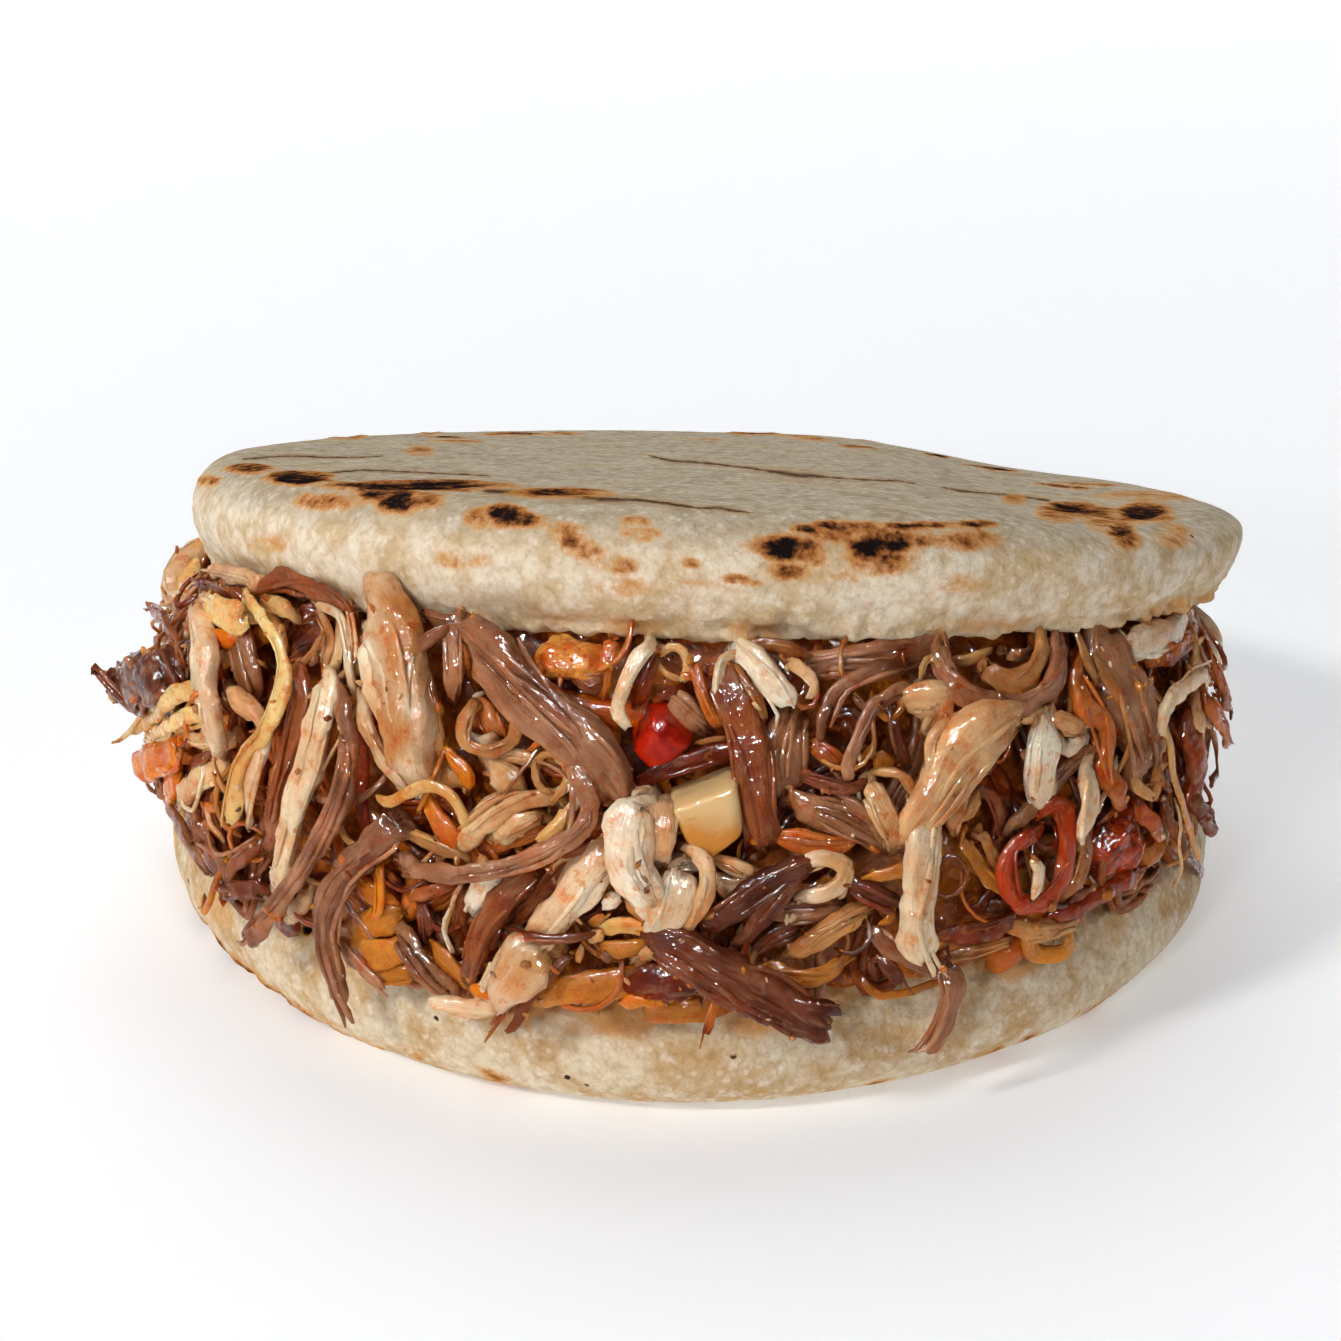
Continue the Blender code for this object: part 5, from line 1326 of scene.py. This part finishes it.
def tube_faces(rows, sides):
    """The side faces of a closed tube, and the fans over both ends, whose middles are its last two points."""
    index = np.arange(rows * sides).reshape(rows, sides)
    beside = np.roll(index, -1, axis=1)
    quads = np.stack([index[:-1], beside[:-1], beside[1:], index[1:]], axis=-1).reshape(-1, 4)[:, ::-1]
    head = np.full(sides, rows * sides)
    first = np.stack([index[0], beside[0], head], axis=1)
    last = np.stack([beside[-1], index[-1], head + 1], axis=1)
    return quads, np.concatenate([first, last])


def add_shred(heap, kind, spots, draw, sides=None, flatness=None, step=SHRED_STEP, torn=1.0, blunt=True):
    """One strip along (x, y, z, width) spots: boxy across, grooved along its fibres, each torn off apart."""
    flat, _, groove_depth, groove_size, power = KIND_SHAPES[kind]
    flat = flatness or flat
    spots, gone = smooth_line(spots, step)
    own = draw.uniform(0, 900)
    wide = float(spots[:, 3].max())
    widths = wide * (1 - BLUNT) + BLUNT * spots[:, 3] if blunt else np.maximum(spots[:, 3], 0.15)
    wander = np.stack([lumps(spots[:, :3] + own, WANDER_SIZE, axis) for axis in (1, 2, 3)], axis=1)
    line = spots[:, :3] + wander * (WANDER_BASE + WANDER_BY_WIDTH * widths)[:, None]
    along, across, outward = line_frames(line)
    thick = np.minimum(widths * flat, THICKEST)
    length = gone[-1]
    sides = sides or int(np.clip(round(wide * SIDES_PER_WIDTH), FEWEST_SIDES, MOST_SIDES))
    turns = math.tau * (np.arange(sides) + 0.5) / sides
    cos, sin = np.cos(turns), np.sin(turns)
    flat_x = np.sign(cos) * np.abs(cos) ** power
    flat_y = np.sign(sin) * np.abs(sin) ** power
    sideways = flat_x * wide / 2
    tear = torn * min(TORN_FOR_WIDTH * wide, TORN_FOR_LENGTH * length)
    strand = np.stack([sideways + own, 0.3 * np.sign(sin), 0 * sin], axis=1)
    begins = tear * (0.5 + 0.5 * lumps(strand, 0.8, 21))
    stops = length - tear * (0.5 + 0.5 * lumps(strand, 0.8, 22))
    share = np.linspace(0, 1, len(line))[:, None]
    places = begins + share * (stops - begins)
    rounding = min(ROUND_FOR_WIDTH * wide, ROUND_FOR_LENGTH * length)
    from_end = np.minimum(places - begins, stops - places)
    scale = np.sqrt(np.clip(from_end / rounding, 0, 1))
    flow = stacked(sideways, 2.0 * np.sign(sin), places / FIBRE_STRETCH + own)
    bundle = lumps(flow, groove_size, 11).reshape(places.shape)
    fine = lumps(flow, 0.45 * groove_size, 12).reshape(places.shape)
    crease = 1 - np.clip(np.abs(bundle) / 0.38, 0, 1)
    strength = groove_depth * min(1.0, wide / FULL_GROOVE_WIDTH)
    bulges = lumps(flow * np.array([1.0, 1.0, 3.5]), 2.1, 13).reshape(places.shape)
    relief = strength * (0.7 * bundle - 0.8 * crease + 0.4 * fine) + 0.06 * min(wide, 4.0) * bulges
    edges = stacked(9.0 * np.sign(cos), places, own)
    ragged = 1 + 0.2 * lumps(edges, 1.7, 14).reshape(places.shape)
    half = np.interp(places, gone, widths) / 2 * (0.6 + 0.4 * scale) * ragged + relief
    rise = np.interp(places, gone, thick) / 2 * (0.3 + 0.7 * scale) + relief
    points = (
        blended(places, gone, line)
        + blended(places, gone, across) * (half * flat_x)[..., None]
        + blended(places, gone, outward) * (rise * flat_y)[..., None]
    ).reshape(-1, 3)
    rough = min(1.0, wide / 2.0)
    seeds = (31, 32, 33)
    shift = [0.26 * lumps(points, 1.7, seed) + 0.13 * lumps(points, 0.8, seed) for seed in seeds]
    points = points + rough * np.stack(shift, axis=1)
    points = np.concatenate([points, [points[:sides].mean(0), points[-sides:].mean(0)]])
    quads, fans = tube_faces(len(line), sides)
    reel = stacked(sideways, places, own)
    fibres = np.concatenate([reel, reel[:1], reel[-1:]])
    # How much painted shade each point's groove gets
    crease_shade = np.append(crease.ravel(), [0.5, 0.5]) * 0.4
    tints = shred_tints(kind, points, fibres, crease_shade, draw, depth_of(points))
    heap.add(points, quads, fans, tints, fibres)
    return line, widths, thick, across, outward, along


def strand_spot(spine, row, offset, up, size):
    """A spot beside a shred's line, by an offset across and a height over it, with a strand's width."""
    line, widths, _, across, outward, _ = spine
    return (*(line[row] + across[row] * offset * widths[row] / 2 + outward[row] * up * 0.9), size)


def lay_strands(heap, kind, spine, free, draw, density, step=STRAND_STEP):
    """Thinner strands pulled off the same shred: along its face and edges, some past its free ends."""
    _, widths, thick, across, outward, along = spine
    rows = len(widths)
    if rows < 6:
        return
    for _ in range(int(round(widths.max() * density + draw.uniform(-0.3, 0.7)))):
        first = 0 if draw.random() < 0.4 else int(draw.uniform(0, 0.5) * rows)
        last = rows - 1 if draw.random() < 0.5 else int(draw.uniform(0.6, 1.0) * (rows - 1))
        if last - first < 5:
            continue
        side = draw.uniform(-1.0, 1.0)
        drift = draw.uniform(-0.3, 0.3)
        size = draw.uniform(0.35, 0.8) * min(1.0, 0.4 + widths.max() / 5)
        spots = []
        for number, row in enumerate(np.linspace(first, last, 6).astype(int)):
            spread = 1 + 0.3 * (2 * number / 5 - 1) ** 2
            offset = np.clip(side + drift * (number / 5 - 0.5) + draw.normal() * 0.08, -1.0, 1.0) * spread
            up = math.sqrt(max(0.0, 1 - min(1.0, abs(offset)) ** 4)) * thick[row] / 2 + draw.normal() * 0.08
            spots.append(strand_spot(spine, row, offset, up, size))
        if last == rows - 1 and ">" in free:
            way = along[last] + across[last] * draw.normal() * 0.3 + outward[last] * draw.normal() * 0.2
            spots.append((*(np.array(spots[-1][:3]) + way * draw.uniform(0.3, 1.6)), size * 0.8))
        if first == 0 and "<" in free:
            way = across[0] * draw.normal() * 0.3 - along[0] + outward[0] * draw.normal() * 0.2
            spots.insert(0, (*(np.array(spots[0][:3]) + way * draw.uniform(0.3, 1.6)), size * 0.8))
        add_shred(heap, kind, spots, draw, sides=7, flatness=0.75, step=step, torn=0.3)


def lay_bundle(heap, kind, spots, draw, step):
    """A loose bundle of strands side by side along one line, as meat comes apart."""
    spots = np.array(spots)
    width = spots[:, 3].max()
    _, across, outward = line_frames(spots[:, :3])
    count = max(2, int(round(width / draw.uniform(0.55, 0.85))))
    for number in range(count):
        offset = ((number + 0.5) / count - 0.5) * width
        size = width / count * draw.uniform(1.2, 1.7)
        strand = []
        for row, spot in enumerate(spots):
            stray = draw.normal(0, 0.18, 2)
            up = stray[1] + draw.normal() * 0.1
            strand.append((*(spot[:3] + across[row] * (offset + stray[0]) + outward[row] * up), size))
        first = 1 if draw.random() < 0.25 else 0
        last = len(strand) - (1 if draw.random() < 0.25 else 0)
        add_shred(heap, kind, strand[first:last], draw, sides=6, flatness=0.75, step=step, torn=0.5)


HEAPS = {name: Heap() for name in PIECE_KINDS}


def heap_of(kind):
    """The heap that a kind of shred belongs to."""
    return next(HEAPS[name] for name, kinds in PIECE_KINDS.items() if kind in kinds)


def dive(end, inner):
    """Where a tucked end goes on to, under the other shreds."""
    x, y, width = end
    run = math.dist(end[:2], inner[:2])
    reach = 0.45 * max(width, 10) / run
    point, scale = seen(x + (x - inner[0]) * reach, y + (y - inner[1]) * reach, -1.3 * TUCKED_DEPTH)
    return (*point, 0.8 * width * scale)


def lay_traced_shreds():
    """The shreds that the picture shows, each along its own line."""
    draw = np.random.default_rng(5)
    for kind, lift, free, *spots in SHREDS:
        line = []
        if "<" not in free:
            line.append(dive(spots[0], spots[1]))
        for index, (x, y, width) in enumerate(spots):
            tucked = (index == 0 and "<" not in free) or (index == len(spots) - 1 and ">" not in free)
            point, scale = seen(x, y, min(lift - 0.8, 0.55 * lift) if tucked else lift)
            line.append((*point, width * scale))
        if ">" not in free:
            line.append(dive(spots[-1], spots[-2]))
        heap = heap_of(kind)
        spine = add_shred(heap, kind, line, draw)
        lay_strands(heap, kind, spine, free, draw, KIND_SHAPES[kind][1])

# Kinds of the shreds that no one can trace, each as often as it comes up
FRONT_KINDS = (
    "brown", "deep", "stained", "onion", "sauce", "tan", "brown", "onion", "stained", "beef", "orange",
)
BACK_KINDS = (
    "beef", "brown", "chicken", "tan", "gray", "stained", "white", "dark", "onion", "peach", "beef",
    "deep", "chicken", "orange", "brown", "yellow",
)
MEAT_KINDS = ("beef", "brown", "gray", "dark", "deep", "tan", "stained", "chicken", "white", "peach")
FRONT_STEP = 1.15
BACK_STEP = 1.7

# Bands of such shreds: how many, the azimuths, lifts off the surface and widths between which they lie,
# their kinds, and the step between points along their strands
FILLER_BANDS = (
    (170, (-96, 96), (-2.6, -0.3), (0.8, 3.0), FRONT_KINDS, FRONT_STEP),
    (190, (82, 278), (-1.4, 1.6), (1.2, 4.2), BACK_KINDS, BACK_STEP),
)
FILLER_SPOTS = 6
END_DIVE = 1.6
THIN_MEAT = 1.2
CORE_DEPTH = 3.3
CORE_COLUMNS = 420
CORE_ROWS = 44
CORE_LUMP = 5.0
CORE_BIT = 2.6
BACK_SHREDS = 30
BACK_FROM = 84.0
BACK_TO = 276.0
HANGING_SHARE = 0.22
BIT_COUNT = 1900
SMALLEST_BIT = 0.3
BIT_RANGE = 0.9
BIT_BIAS = 2.5
THREAD_COUNT = 260
THREAD_PARTS = 5
THREAD_AZIMUTHS = (-104, 256)
THREAD_KINDS = ("brown", "stained", "tan", "peach", "beef", "onion", "deep", "chicken", "gray", "stained")
HANGING_KINDS = ("beef", "chicken", "brown", "tan", "gray", "white")
BIT_KINDS = (
    "stained", "tan", "onion", "peach", "brown", "chicken", "stained", "beef", "tan", "onion", "gray",
)


def lay_filler_shreds():
    """Shreds behind the ones that show, and round the sides and back, laid by a rule."""
    draw = np.random.default_rng(23)
    for count, azimuths, lifts, widths, kinds, strand_step in FILLER_BANDS:
        for _ in range(count):
            azimuth = draw.uniform(*azimuths)
            floor, top = LOWER_THICK - 0.5, filling_top(azimuth) - 0.6
            height = draw.uniform(floor, top)
            lean = draw.normal(0, 0.8)
            length = draw.uniform(10, 24)
            bend = draw.normal(0, 1.9)
            lift = draw.uniform(*lifts)
            width = draw.uniform(*widths)
            kind = kinds[int(draw.integers(len(kinds)))]
            spots = []
            across, rise = -0.5 * length * math.sin(lean), height - 0.5 * length * math.cos(lean)
            last = FILLER_SPOTS - 1
            for step in range(FILLER_SPOTS):
                turn = lean + bend * (step / last - 0.5)
                held = min(max(rise, floor), top)
                out = lift - END_DIVE if step in (0, last) else lift + draw.normal() * 0.3
                spin = azimuth + math.degrees(across / FRONT_REACH)
                spots.append((*surface(spin, held, out), width))
                across += length / last * math.sin(turn)
                rise += length / last * math.cos(turn)
            if kind in MEAT_KINDS and width > THIN_MEAT:
                lay_bundle(heap_of(kind), kind, spots, draw, strand_step)
            else:
                add_shred(heap_of(kind), kind, spots, draw, sides=int(7 + width * 2), step=FRONT_STEP)


def lay_threads():
    """Thin fibres pulled loose over the heap, most of them hanging and curled."""
    draw = np.random.default_rng(29)
    for _ in range(THREAD_COUNT):
        azimuth = draw.uniform(*THREAD_AZIMUTHS)
        height = draw.uniform(LOWER_THICK + 3.0, filling_top(azimuth) - 1.0)
        lean, curl = draw.normal(0, 0.7), draw.normal(0, 0.55)
        length, width = draw.uniform(5, 14), draw.uniform(0.35, 0.8)
        lift = draw.uniform(0.6, 2.8)
        kind = THREAD_KINDS[int(draw.integers(len(THREAD_KINDS)))]
        across, rise, spots = 0.0, height, []
        for step in range(THREAD_PARTS + 1):
            out = lift * math.sin(math.pi * (0.15 + 0.7 * step / THREAD_PARTS)) + draw.normal() * 0.2
            spots.append((*surface(azimuth + math.degrees(across / FRONT_REACH), rise, out), width))
            across += length / THREAD_PARTS * math.sin(lean)
            rise = max(rise - length / THREAD_PARTS * math.cos(lean), LOWER_THICK - 1.0)
            lean += curl
        add_shred(heap_of(kind), kind, spots, draw, sides=5, flatness=0.8, step=1.0, torn=0.3, blunt=False)


def lay_back_shreds():
    """The larger shreds round the sides and back, mostly level in the narrow gap, some hanging out."""
    draw = np.random.default_rng(11)
    for index in range(BACK_SHREDS):
        azimuth = BACK_FROM + (BACK_TO - BACK_FROM) * (index + draw.uniform(0.1, 0.9)) / BACK_SHREDS
        floor, top = LOWER_THICK + 1.5, filling_top(azimuth) - 1.5
        height = draw.uniform(floor, top)
        turn = draw.uniform(8, 17) * draw.choice((-1, 1))
        hangs = draw.random() < HANGING_SHARE
        end = draw.uniform(7.0, 10.0) if hangs else draw.uniform(floor, top)
        turn *= 0.35 if hangs else 1.0
        lift = draw.uniform(0.4, 2.2)
        width = draw.uniform(2.8, 4.0) if hangs else draw.uniform(3.2, 6.5)
        kind = HANGING_KINDS[index % len(HANGING_KINDS)]
        free = ">" if hangs else "-"
        spots = []
        for step in range(4):
            share = step / 3
            out = -TUCKED_DEPTH if step == 0 or (step == 3 and not hangs) else lift
            rise = height + (end - height) * share + 1.2 * math.sin(math.pi * share)
            spots.append((*surface(azimuth + turn * share, rise, out), width * (0.7, 1.0, 1.0, 0.6)[step]))
        spine = add_shred(heap_of(kind), kind, spots, draw, step=FRONT_STEP)
        lay_strands(heap_of(kind), kind, spine, free, draw, KIND_SHAPES[kind][1], BACK_STEP)


def sauce_finish():
    """Dark glossy gravy with oil and soft bits in it."""
    n = Nodes("gravy")
    spot = n.place()
    cloud = n.noise(spot, 3.2, 4.0, 0.65)
    fine = n.noise(spot, 0.9, 4.0, 0.7)
    colour = n.mix(n.between(0.35, 0.65, cloud), linear((142, 62, 12)), linear((204, 112, 30)))
    colour = n.over(colour, (238, 142, 40), n.between(0.55, 0.7, fine), 0.7)
    colour = n.over(colour, (70, 24, 5), n.between(0.4, 0.25, fine))
    return n.wear(Base_Color=colour, Roughness=0.4, Normal=n.bump(fine, 0.3), **oil_film(1.0, 0.08))


def core_relief(points):
    """The core's side with lumps and bits standing out of it."""
    out = points * np.array([1.0, 1.0, 0.0])
    out /= np.linalg.norm(out, axis=1, keepdims=True)
    away, value = grains(points, CORE_BIT, 91)
    bits = (0.6 - np.clip(away, 0, 1)) * 1.4 + (value - 0.5) * 0.8
    relief = 1.5 * layered(points, CORE_LUMP, 15, 4) + bits
    return points + out * relief[:, None]


def make_core():
    """The packed, sauced middle that shows in the gaps between the shreds."""
    azimuths = np.arange(CORE_COLUMNS) * 360 / CORE_COLUMNS
    points, rings = [], []
    for row in range(CORE_ROWS):
        share = 1 - row / (CORE_ROWS - 1)
        rings.append(np.arange(CORE_COLUMNS) + len(points))
        for azimuth in azimuths:
            top = filling_top(azimuth)
            height = LOWER_THICK - 0.6 + (top - LOWER_THICK + 1.2) * share
            points.append(surface(azimuth, height, -CORE_DEPTH))
    points = core_relief(np.array([tuple(point) for point in points]))
    top = np.array([0.0, 0.0, ceiling(0, 0) - 0.4])
    floor = np.array([0.0, 0.0, LOWER_THICK + 0.3])
    points = np.concatenate([points, [top, floor]])
    quads = [np.stack([a, b, np.roll(b, -1), np.roll(a, -1)], axis=1) for a, b in zip(rings, rings[1:])]
    last = len(points) - 2
    cap = np.stack([np.full(CORE_COLUMNS, last), rings[0], np.roll(rings[0], -1)], axis=1)
    base = np.stack([np.full(CORE_COLUMNS, last + 1), np.roll(rings[-1], -1), rings[-1]], axis=1)
    faces = [np.concatenate(quads), np.concatenate([cap, base])]
    obj = add_object("gravy_core", points, faces, sauce_finish())
    finish_piece(obj, "shredded_meat", "filling")


def bit_shape(size, stretch, draw, sphere):
    """One small lumpy bit."""
    points = sphere * (1 + 0.35 * lumps(sphere * 1.0 + draw.uniform(0, 90), 0.8, 3))[:, None]
    turn = Euler(draw.uniform(0, math.tau, 3)).to_matrix()
    return (points * np.array([stretch, 1.0, 0.6]) * size / 2) @ np.array(turn).T


def small_sphere(divisions):
    """Points and faces of a ball of radius 1."""
    shape = bmesh.new()
    bmesh.ops.create_icosphere(shape, subdivisions=divisions, radius=1.0)
    points = np.array([tuple(vert.co) for vert in shape.verts])
    faces = np.array([[vert.index for vert in face.verts] for face in shape.faces])
    shape.free()
    return points, faces


def lay_bits():
    """Crumbs of meat and onion that stick to the shreds."""
    draw = np.random.default_rng(37)
    sphere, faces = small_sphere(1)
    shreds = np.concatenate([np.concatenate(heap.points) for heap in HEAPS.values()])
    shreds = shreds[(depth_of(shreds) > -1.6) & (shreds[:, 2] > LOWER_THICK - 4)]
    for middle in shreds[draw.integers(len(shreds), size=BIT_COUNT)]:
        kind = BIT_KINDS[int(draw.integers(len(BIT_KINDS)))]
        size = SMALLEST_BIT + BIT_RANGE * draw.random() ** BIT_BIAS
        points = bit_shape(size, draw.uniform(1.0, 2.6), draw, sphere) + middle
        tints = shred_tints(kind, points, points, np.zeros(len(points)), draw, depth_of(points))
        HEAPS["soft_strips"].add(points, np.zeros((0, 4), int), faces, tints, points)


# The diced pieces: node, scene piece, slot, rounding in millimetres, relief, seed
DICED = (
    ("red_pepper", "pepper_piece", "red_pepper", 0.7, 0.10, 3),
    ("root_cube", "root_piece", "root_vegetable", 0.9, 0.14, 5),
    ("sauced_chunk", "sauced_piece", "sauced_meat", 0.5, 0.75, 7),
    ("roast_tomato", "tomato_piece", "roast_tomato", 0.5, 0.85, 9),
)
DICED_LUMP = 2.2
DICED_SUNK = 0.25

# Moist surfaces: material, light and dark shade, their size, roughness, inner glow, and patches or none
MOIST = {
    "red_pepper": ("pepper_flesh", (204, 40, 8), (142, 14, 4), 3.4, 0.2, 0.12, None),
    "sauced_chunk": ("sauced_flesh", (240, 166, 74), (218, 104, 34), 2.2, 0.3, 0.25, (176, 44, 14)),
    "roast_tomato": ("tomato_flesh", (184, 62, 14), (92, 26, 8), 2.0, 0.26, 0.15, (230, 96, 24)),
}


def moist_finish(name, light, dark, size, roughness, subsurface, patch):
    """A moist cut or cooked surface with two shades and fine relief."""
    n = Nodes(name)
    spot = n.place()
    cloud = n.noise(spot, size, 4.0)
    fine = n.noise(spot, size * 0.22, 4.0, 0.65)
    colour = n.mix(n.between(0.36, 0.64, cloud), linear(dark), linear(light))
    if patch:
        colour = n.over(colour, patch, n.between(0.56, 0.66, fine), 0.8)
    relief = n.bump(fine, 0.08, n.bump(n.noise(spot, 1.2, 1.0, 0.4), 0.3))
    film, glow = oil_film(1.0, 0.07), inner_glow(subsurface, (1.0, 0.4, 0.2), 1.2)
    return n.wear(Base_Color=colour, Roughness=roughness, Normal=relief, **film, **glow)


def root_finish():
    """Pale cooked root: creamy above, golden where the sauce has soaked in below."""
    n = Nodes("cooked_root")
    spot = n.place()
    low, high = (corner.z / MM for corner in map(Vector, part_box("root_cube")))
    cloud = n.noise(spot, 2.4, 3.0, 0.5)
    rise = n.plus(n.parts(spot)[2], n.centred(cloud, 2.5))
    share = n.between(low + 0.3 * (high - low), low + 0.75 * (high - low), rise)
    colour = n.mix(share, linear((206, 134, 52)), linear((226, 188, 130)))
    colour = n.over(colour, (196, 112, 44), n.between(0.6, 0.75, n.noise(spot, 1.1, 4.0)), 0.7)
    relief = n.bump(n.noise(spot, 0.6, 4.0), 0.06)
    film, glow = oil_film(0.7, 0.1), inner_glow(0.3, (1.0, 0.6, 0.3), 1.5)
    return n.wear(Base_Color=colour, Roughness=0.34, Normal=relief, **film, **glow)


def make_diced_pieces():
    """The four larger chunks, each from its solid with soft edges and a lumpy surface."""
    finishes = {node: moist_finish(*look) for node, look in MOIST.items()}
    finishes["root_cube"] = root_finish()
    for node, name, slot, rounding, relief, seed in DICED:
        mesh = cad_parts[node].data.copy()
        mesh.name = name
        rounded = rounded_mesh(mesh, rounding)
        points = np.array([tuple(vert.co) for vert in rounded.vertices]) / MM
        corners = [list(face.vertices) for face in rounded.polygons]
        faces = [np.array([face for face in corners if len(face) == size]) for size in (3, 4)]
        normals = vertex_normals(points, faces)
        points = points + normals * (relief * (layered(points, DICED_LUMP, seed, 4) - DICED_SUNK))[:, None]
        obj = add_object(name, points, faces, finishes[node])
        finish_piece(obj, slot, node)


def rounded_mesh(mesh, rounding):
    """The mesh with soft edges and many small faces."""
    obj = bpy.data.objects.new("rounding", mesh)
    bpy.context.scene.collection.objects.link(obj)
    weld = obj.modifiers.new("weld", "WELD")
    weld.merge_threshold = 0.01 * MM
    bevel = obj.modifiers.new("bevel", "BEVEL")
    bevel.width = rounding * MM
    bevel.segments = 3
    bevel.limit_method = "ANGLE"
    finer = obj.modifiers.new("finer", "SUBSURF")
    finer.levels = finer.render_levels = 3
    graph = bpy.context.evaluated_depsgraph_get()
    made = bpy.data.meshes.new_from_object(obj.evaluated_get(graph), depsgraph=graph)
    bpy.data.objects.remove(obj)
    return made


# Lights, placed in metres: name, place, size across, power, colour
WHITE = (1.0, 1.0, 1.0)
LIGHTS = (
    ("key", (-1.05, -0.92, 1.15), 0.26, 13.0, (1.0, 0.985, 0.96)),
    ("front", (-0.70, -1.50, 0.62), 0.22, 6.1, WHITE),
    ("fill", (1.2, -1.1, 0.8), 1.2, 0.1, WHITE),
    ("top", (-0.2, 0.9, 2.0), 1.8, 18.5, WHITE),
    ("glint", (0.12, -0.98, 1.35), 0.2, 1.4, WHITE),
)
LIGHTS_AIM = Vector((0.0, 0.0, 0.025))

# Softboxes that only show as highlights in wet surfaces
SHEEN_PLACES = ((-1.05, -0.92, 1.15), (-0.30, -1.45, 1.0), (0.45, -1.2, 1.3))
SHEEN_SIZE = 0.36
SHEEN_POWER = 140.0
SKY_COLOUR = (0.98, 0.985, 1.0, 1.0)
SKY_STRENGTH = 0.11

# The floor's painted light, a glow of its own from near to far, is less to the right as painted shade
FLOOR_SIZE = 6.0
FLOOR_COLOUR = (0.88, 0.90, 0.93)
FLOOR_PAINTED_LIGHT_COLOUR = (0.97, 0.98, 1.0)
FLOOR_PAINTED_LIGHT = (0.28, 0.55)
FLOOR_PAINTED_LIGHT_REACH = (150.0, 900.0)
PAINTED_SHADE_SIDE = (1.0, -0.45, 0.0)
PAINTED_SHADE_REACH = (100.0, 330.0)


def floor_finish():
    """Plain dull white with painted light: a soft glow, cut to the right as painted shade."""
    n = Nodes("white_table")
    length = n.node("ShaderNodeVectorMath", "Value", {0: n.place()}, operation="LENGTH")
    # Painted light: the floor glows of itself, more strongly further off
    (near, far), (low, high) = FLOOR_PAINTED_LIGHT_REACH, FLOOR_PAINTED_LIGHT
    inputs = {"Value": length, "From Min": near, "From Max": far, "To Min": low, "To Max": high}
    glow = n.node("ShaderNodeMapRange", 0, inputs)
    # Painted shade: the glow is cut away on the floor to the right
    places = {0: n.place(), 1: PAINTED_SHADE_SIDE}
    beside = n.node("ShaderNodeVectorMath", "Value", places, operation="DOT_PRODUCT")
    glow = n.times(glow, n.math("SUBTRACT", 1.0, n.between(*PAINTED_SHADE_REACH, beside)))
    lit = {"Emission_Color": FLOOR_PAINTED_LIGHT_COLOUR, "Emission_Strength": glow}
    return n.wear(Base_Color=FLOOR_COLOUR, Roughness=0.7, Specular_IOR_Level=0.0, **lit)


def make_floor():
    half = FLOOR_SIZE / 2
    corners = [(-half, -half, 0), (half, -half, 0), (half, half, 0), (-half, half, 0)]
    mesh = bpy.data.meshes.new("floor")
    mesh.from_pydata(corners, [], [(0, 1, 2, 3)])
    mesh.materials.append(floor_finish())
    floor = bpy.data.objects.new("floor", mesh)
    bpy.context.scene.collection.objects.link(floor)


def add_light(name, place, size, power, colour):
    lamp = bpy.data.lights.new(name, "AREA")
    lamp.shape = "DISK"
    lamp.size = size
    lamp.energy = power
    lamp.color = colour
    obj = bpy.data.objects.new(name, lamp)
    obj.location = place
    aim = LIGHTS_AIM - Vector(place)
    obj.rotation_euler = aim.to_track_quat("-Z", "Y").to_euler()
    bpy.context.scene.collection.objects.link(obj)
    return obj


def make_lights():
    for light in LIGHTS:
        add_light(*light)
    for index, place in enumerate(SHEEN_PLACES):
        sheen = add_light(f"sheen_{index}", place, SHEEN_SIZE, SHEEN_POWER, WHITE)
        sheen.visible_diffuse = False
    world = bpy.data.worlds.new("studio")
    world.use_nodes = True
    sky = world.node_tree.nodes["Background"]
    sky.inputs["Color"].default_value = SKY_COLOUR
    sky.inputs["Strength"].default_value = SKY_STRENGTH
    bpy.context.scene.world = world


def make_camera():
    lens = bpy.data.cameras.new("camera")
    lens.sensor_width = SENSOR
    lens.lens = SENSOR * PICTURE_FOCUS / PICTURE_SIZE
    lens.clip_start = 0.01
    camera = bpy.data.objects.new("camera", lens)
    camera.location = EYE * MM
    camera.rotation_euler = (math.pi / 2 - EYE_DROP, 0.0, 0.0)
    bpy.context.scene.collection.objects.link(camera)
    bpy.context.scene.camera = camera


def make_filling():
    make_core()
    lay_traced_shreds()
    lay_filler_shreds()
    lay_back_shreds()
    lay_threads()
    lay_bits()
    finishes = {
        "dark_meat_shreds": shred_finish("dark_meat", 0.4, 1.0, 0.14, 0.0),
        "pale_meat_shreds": shred_finish("pale_meat", 0.42, 0.8, 0.25, 0.25),
        "sauced_shreds": shred_finish("sauced_meat", 0.36, 1.0, 0.15, 0.25),
        "soft_strips": shred_finish("soft_vegetable", 0.3, 0.9, 0.3, 0.2),
    }
    for name, heap in HEAPS.items():
        heap.build(name, finishes[name], "shredded_meat", "filling")


make_camera()
make_lights()
make_floor()
make_lower_bread()
make_upper_bread()
make_filling()
make_diced_pieces()

bpy.context.scene.view_settings.view_transform = "Standard"
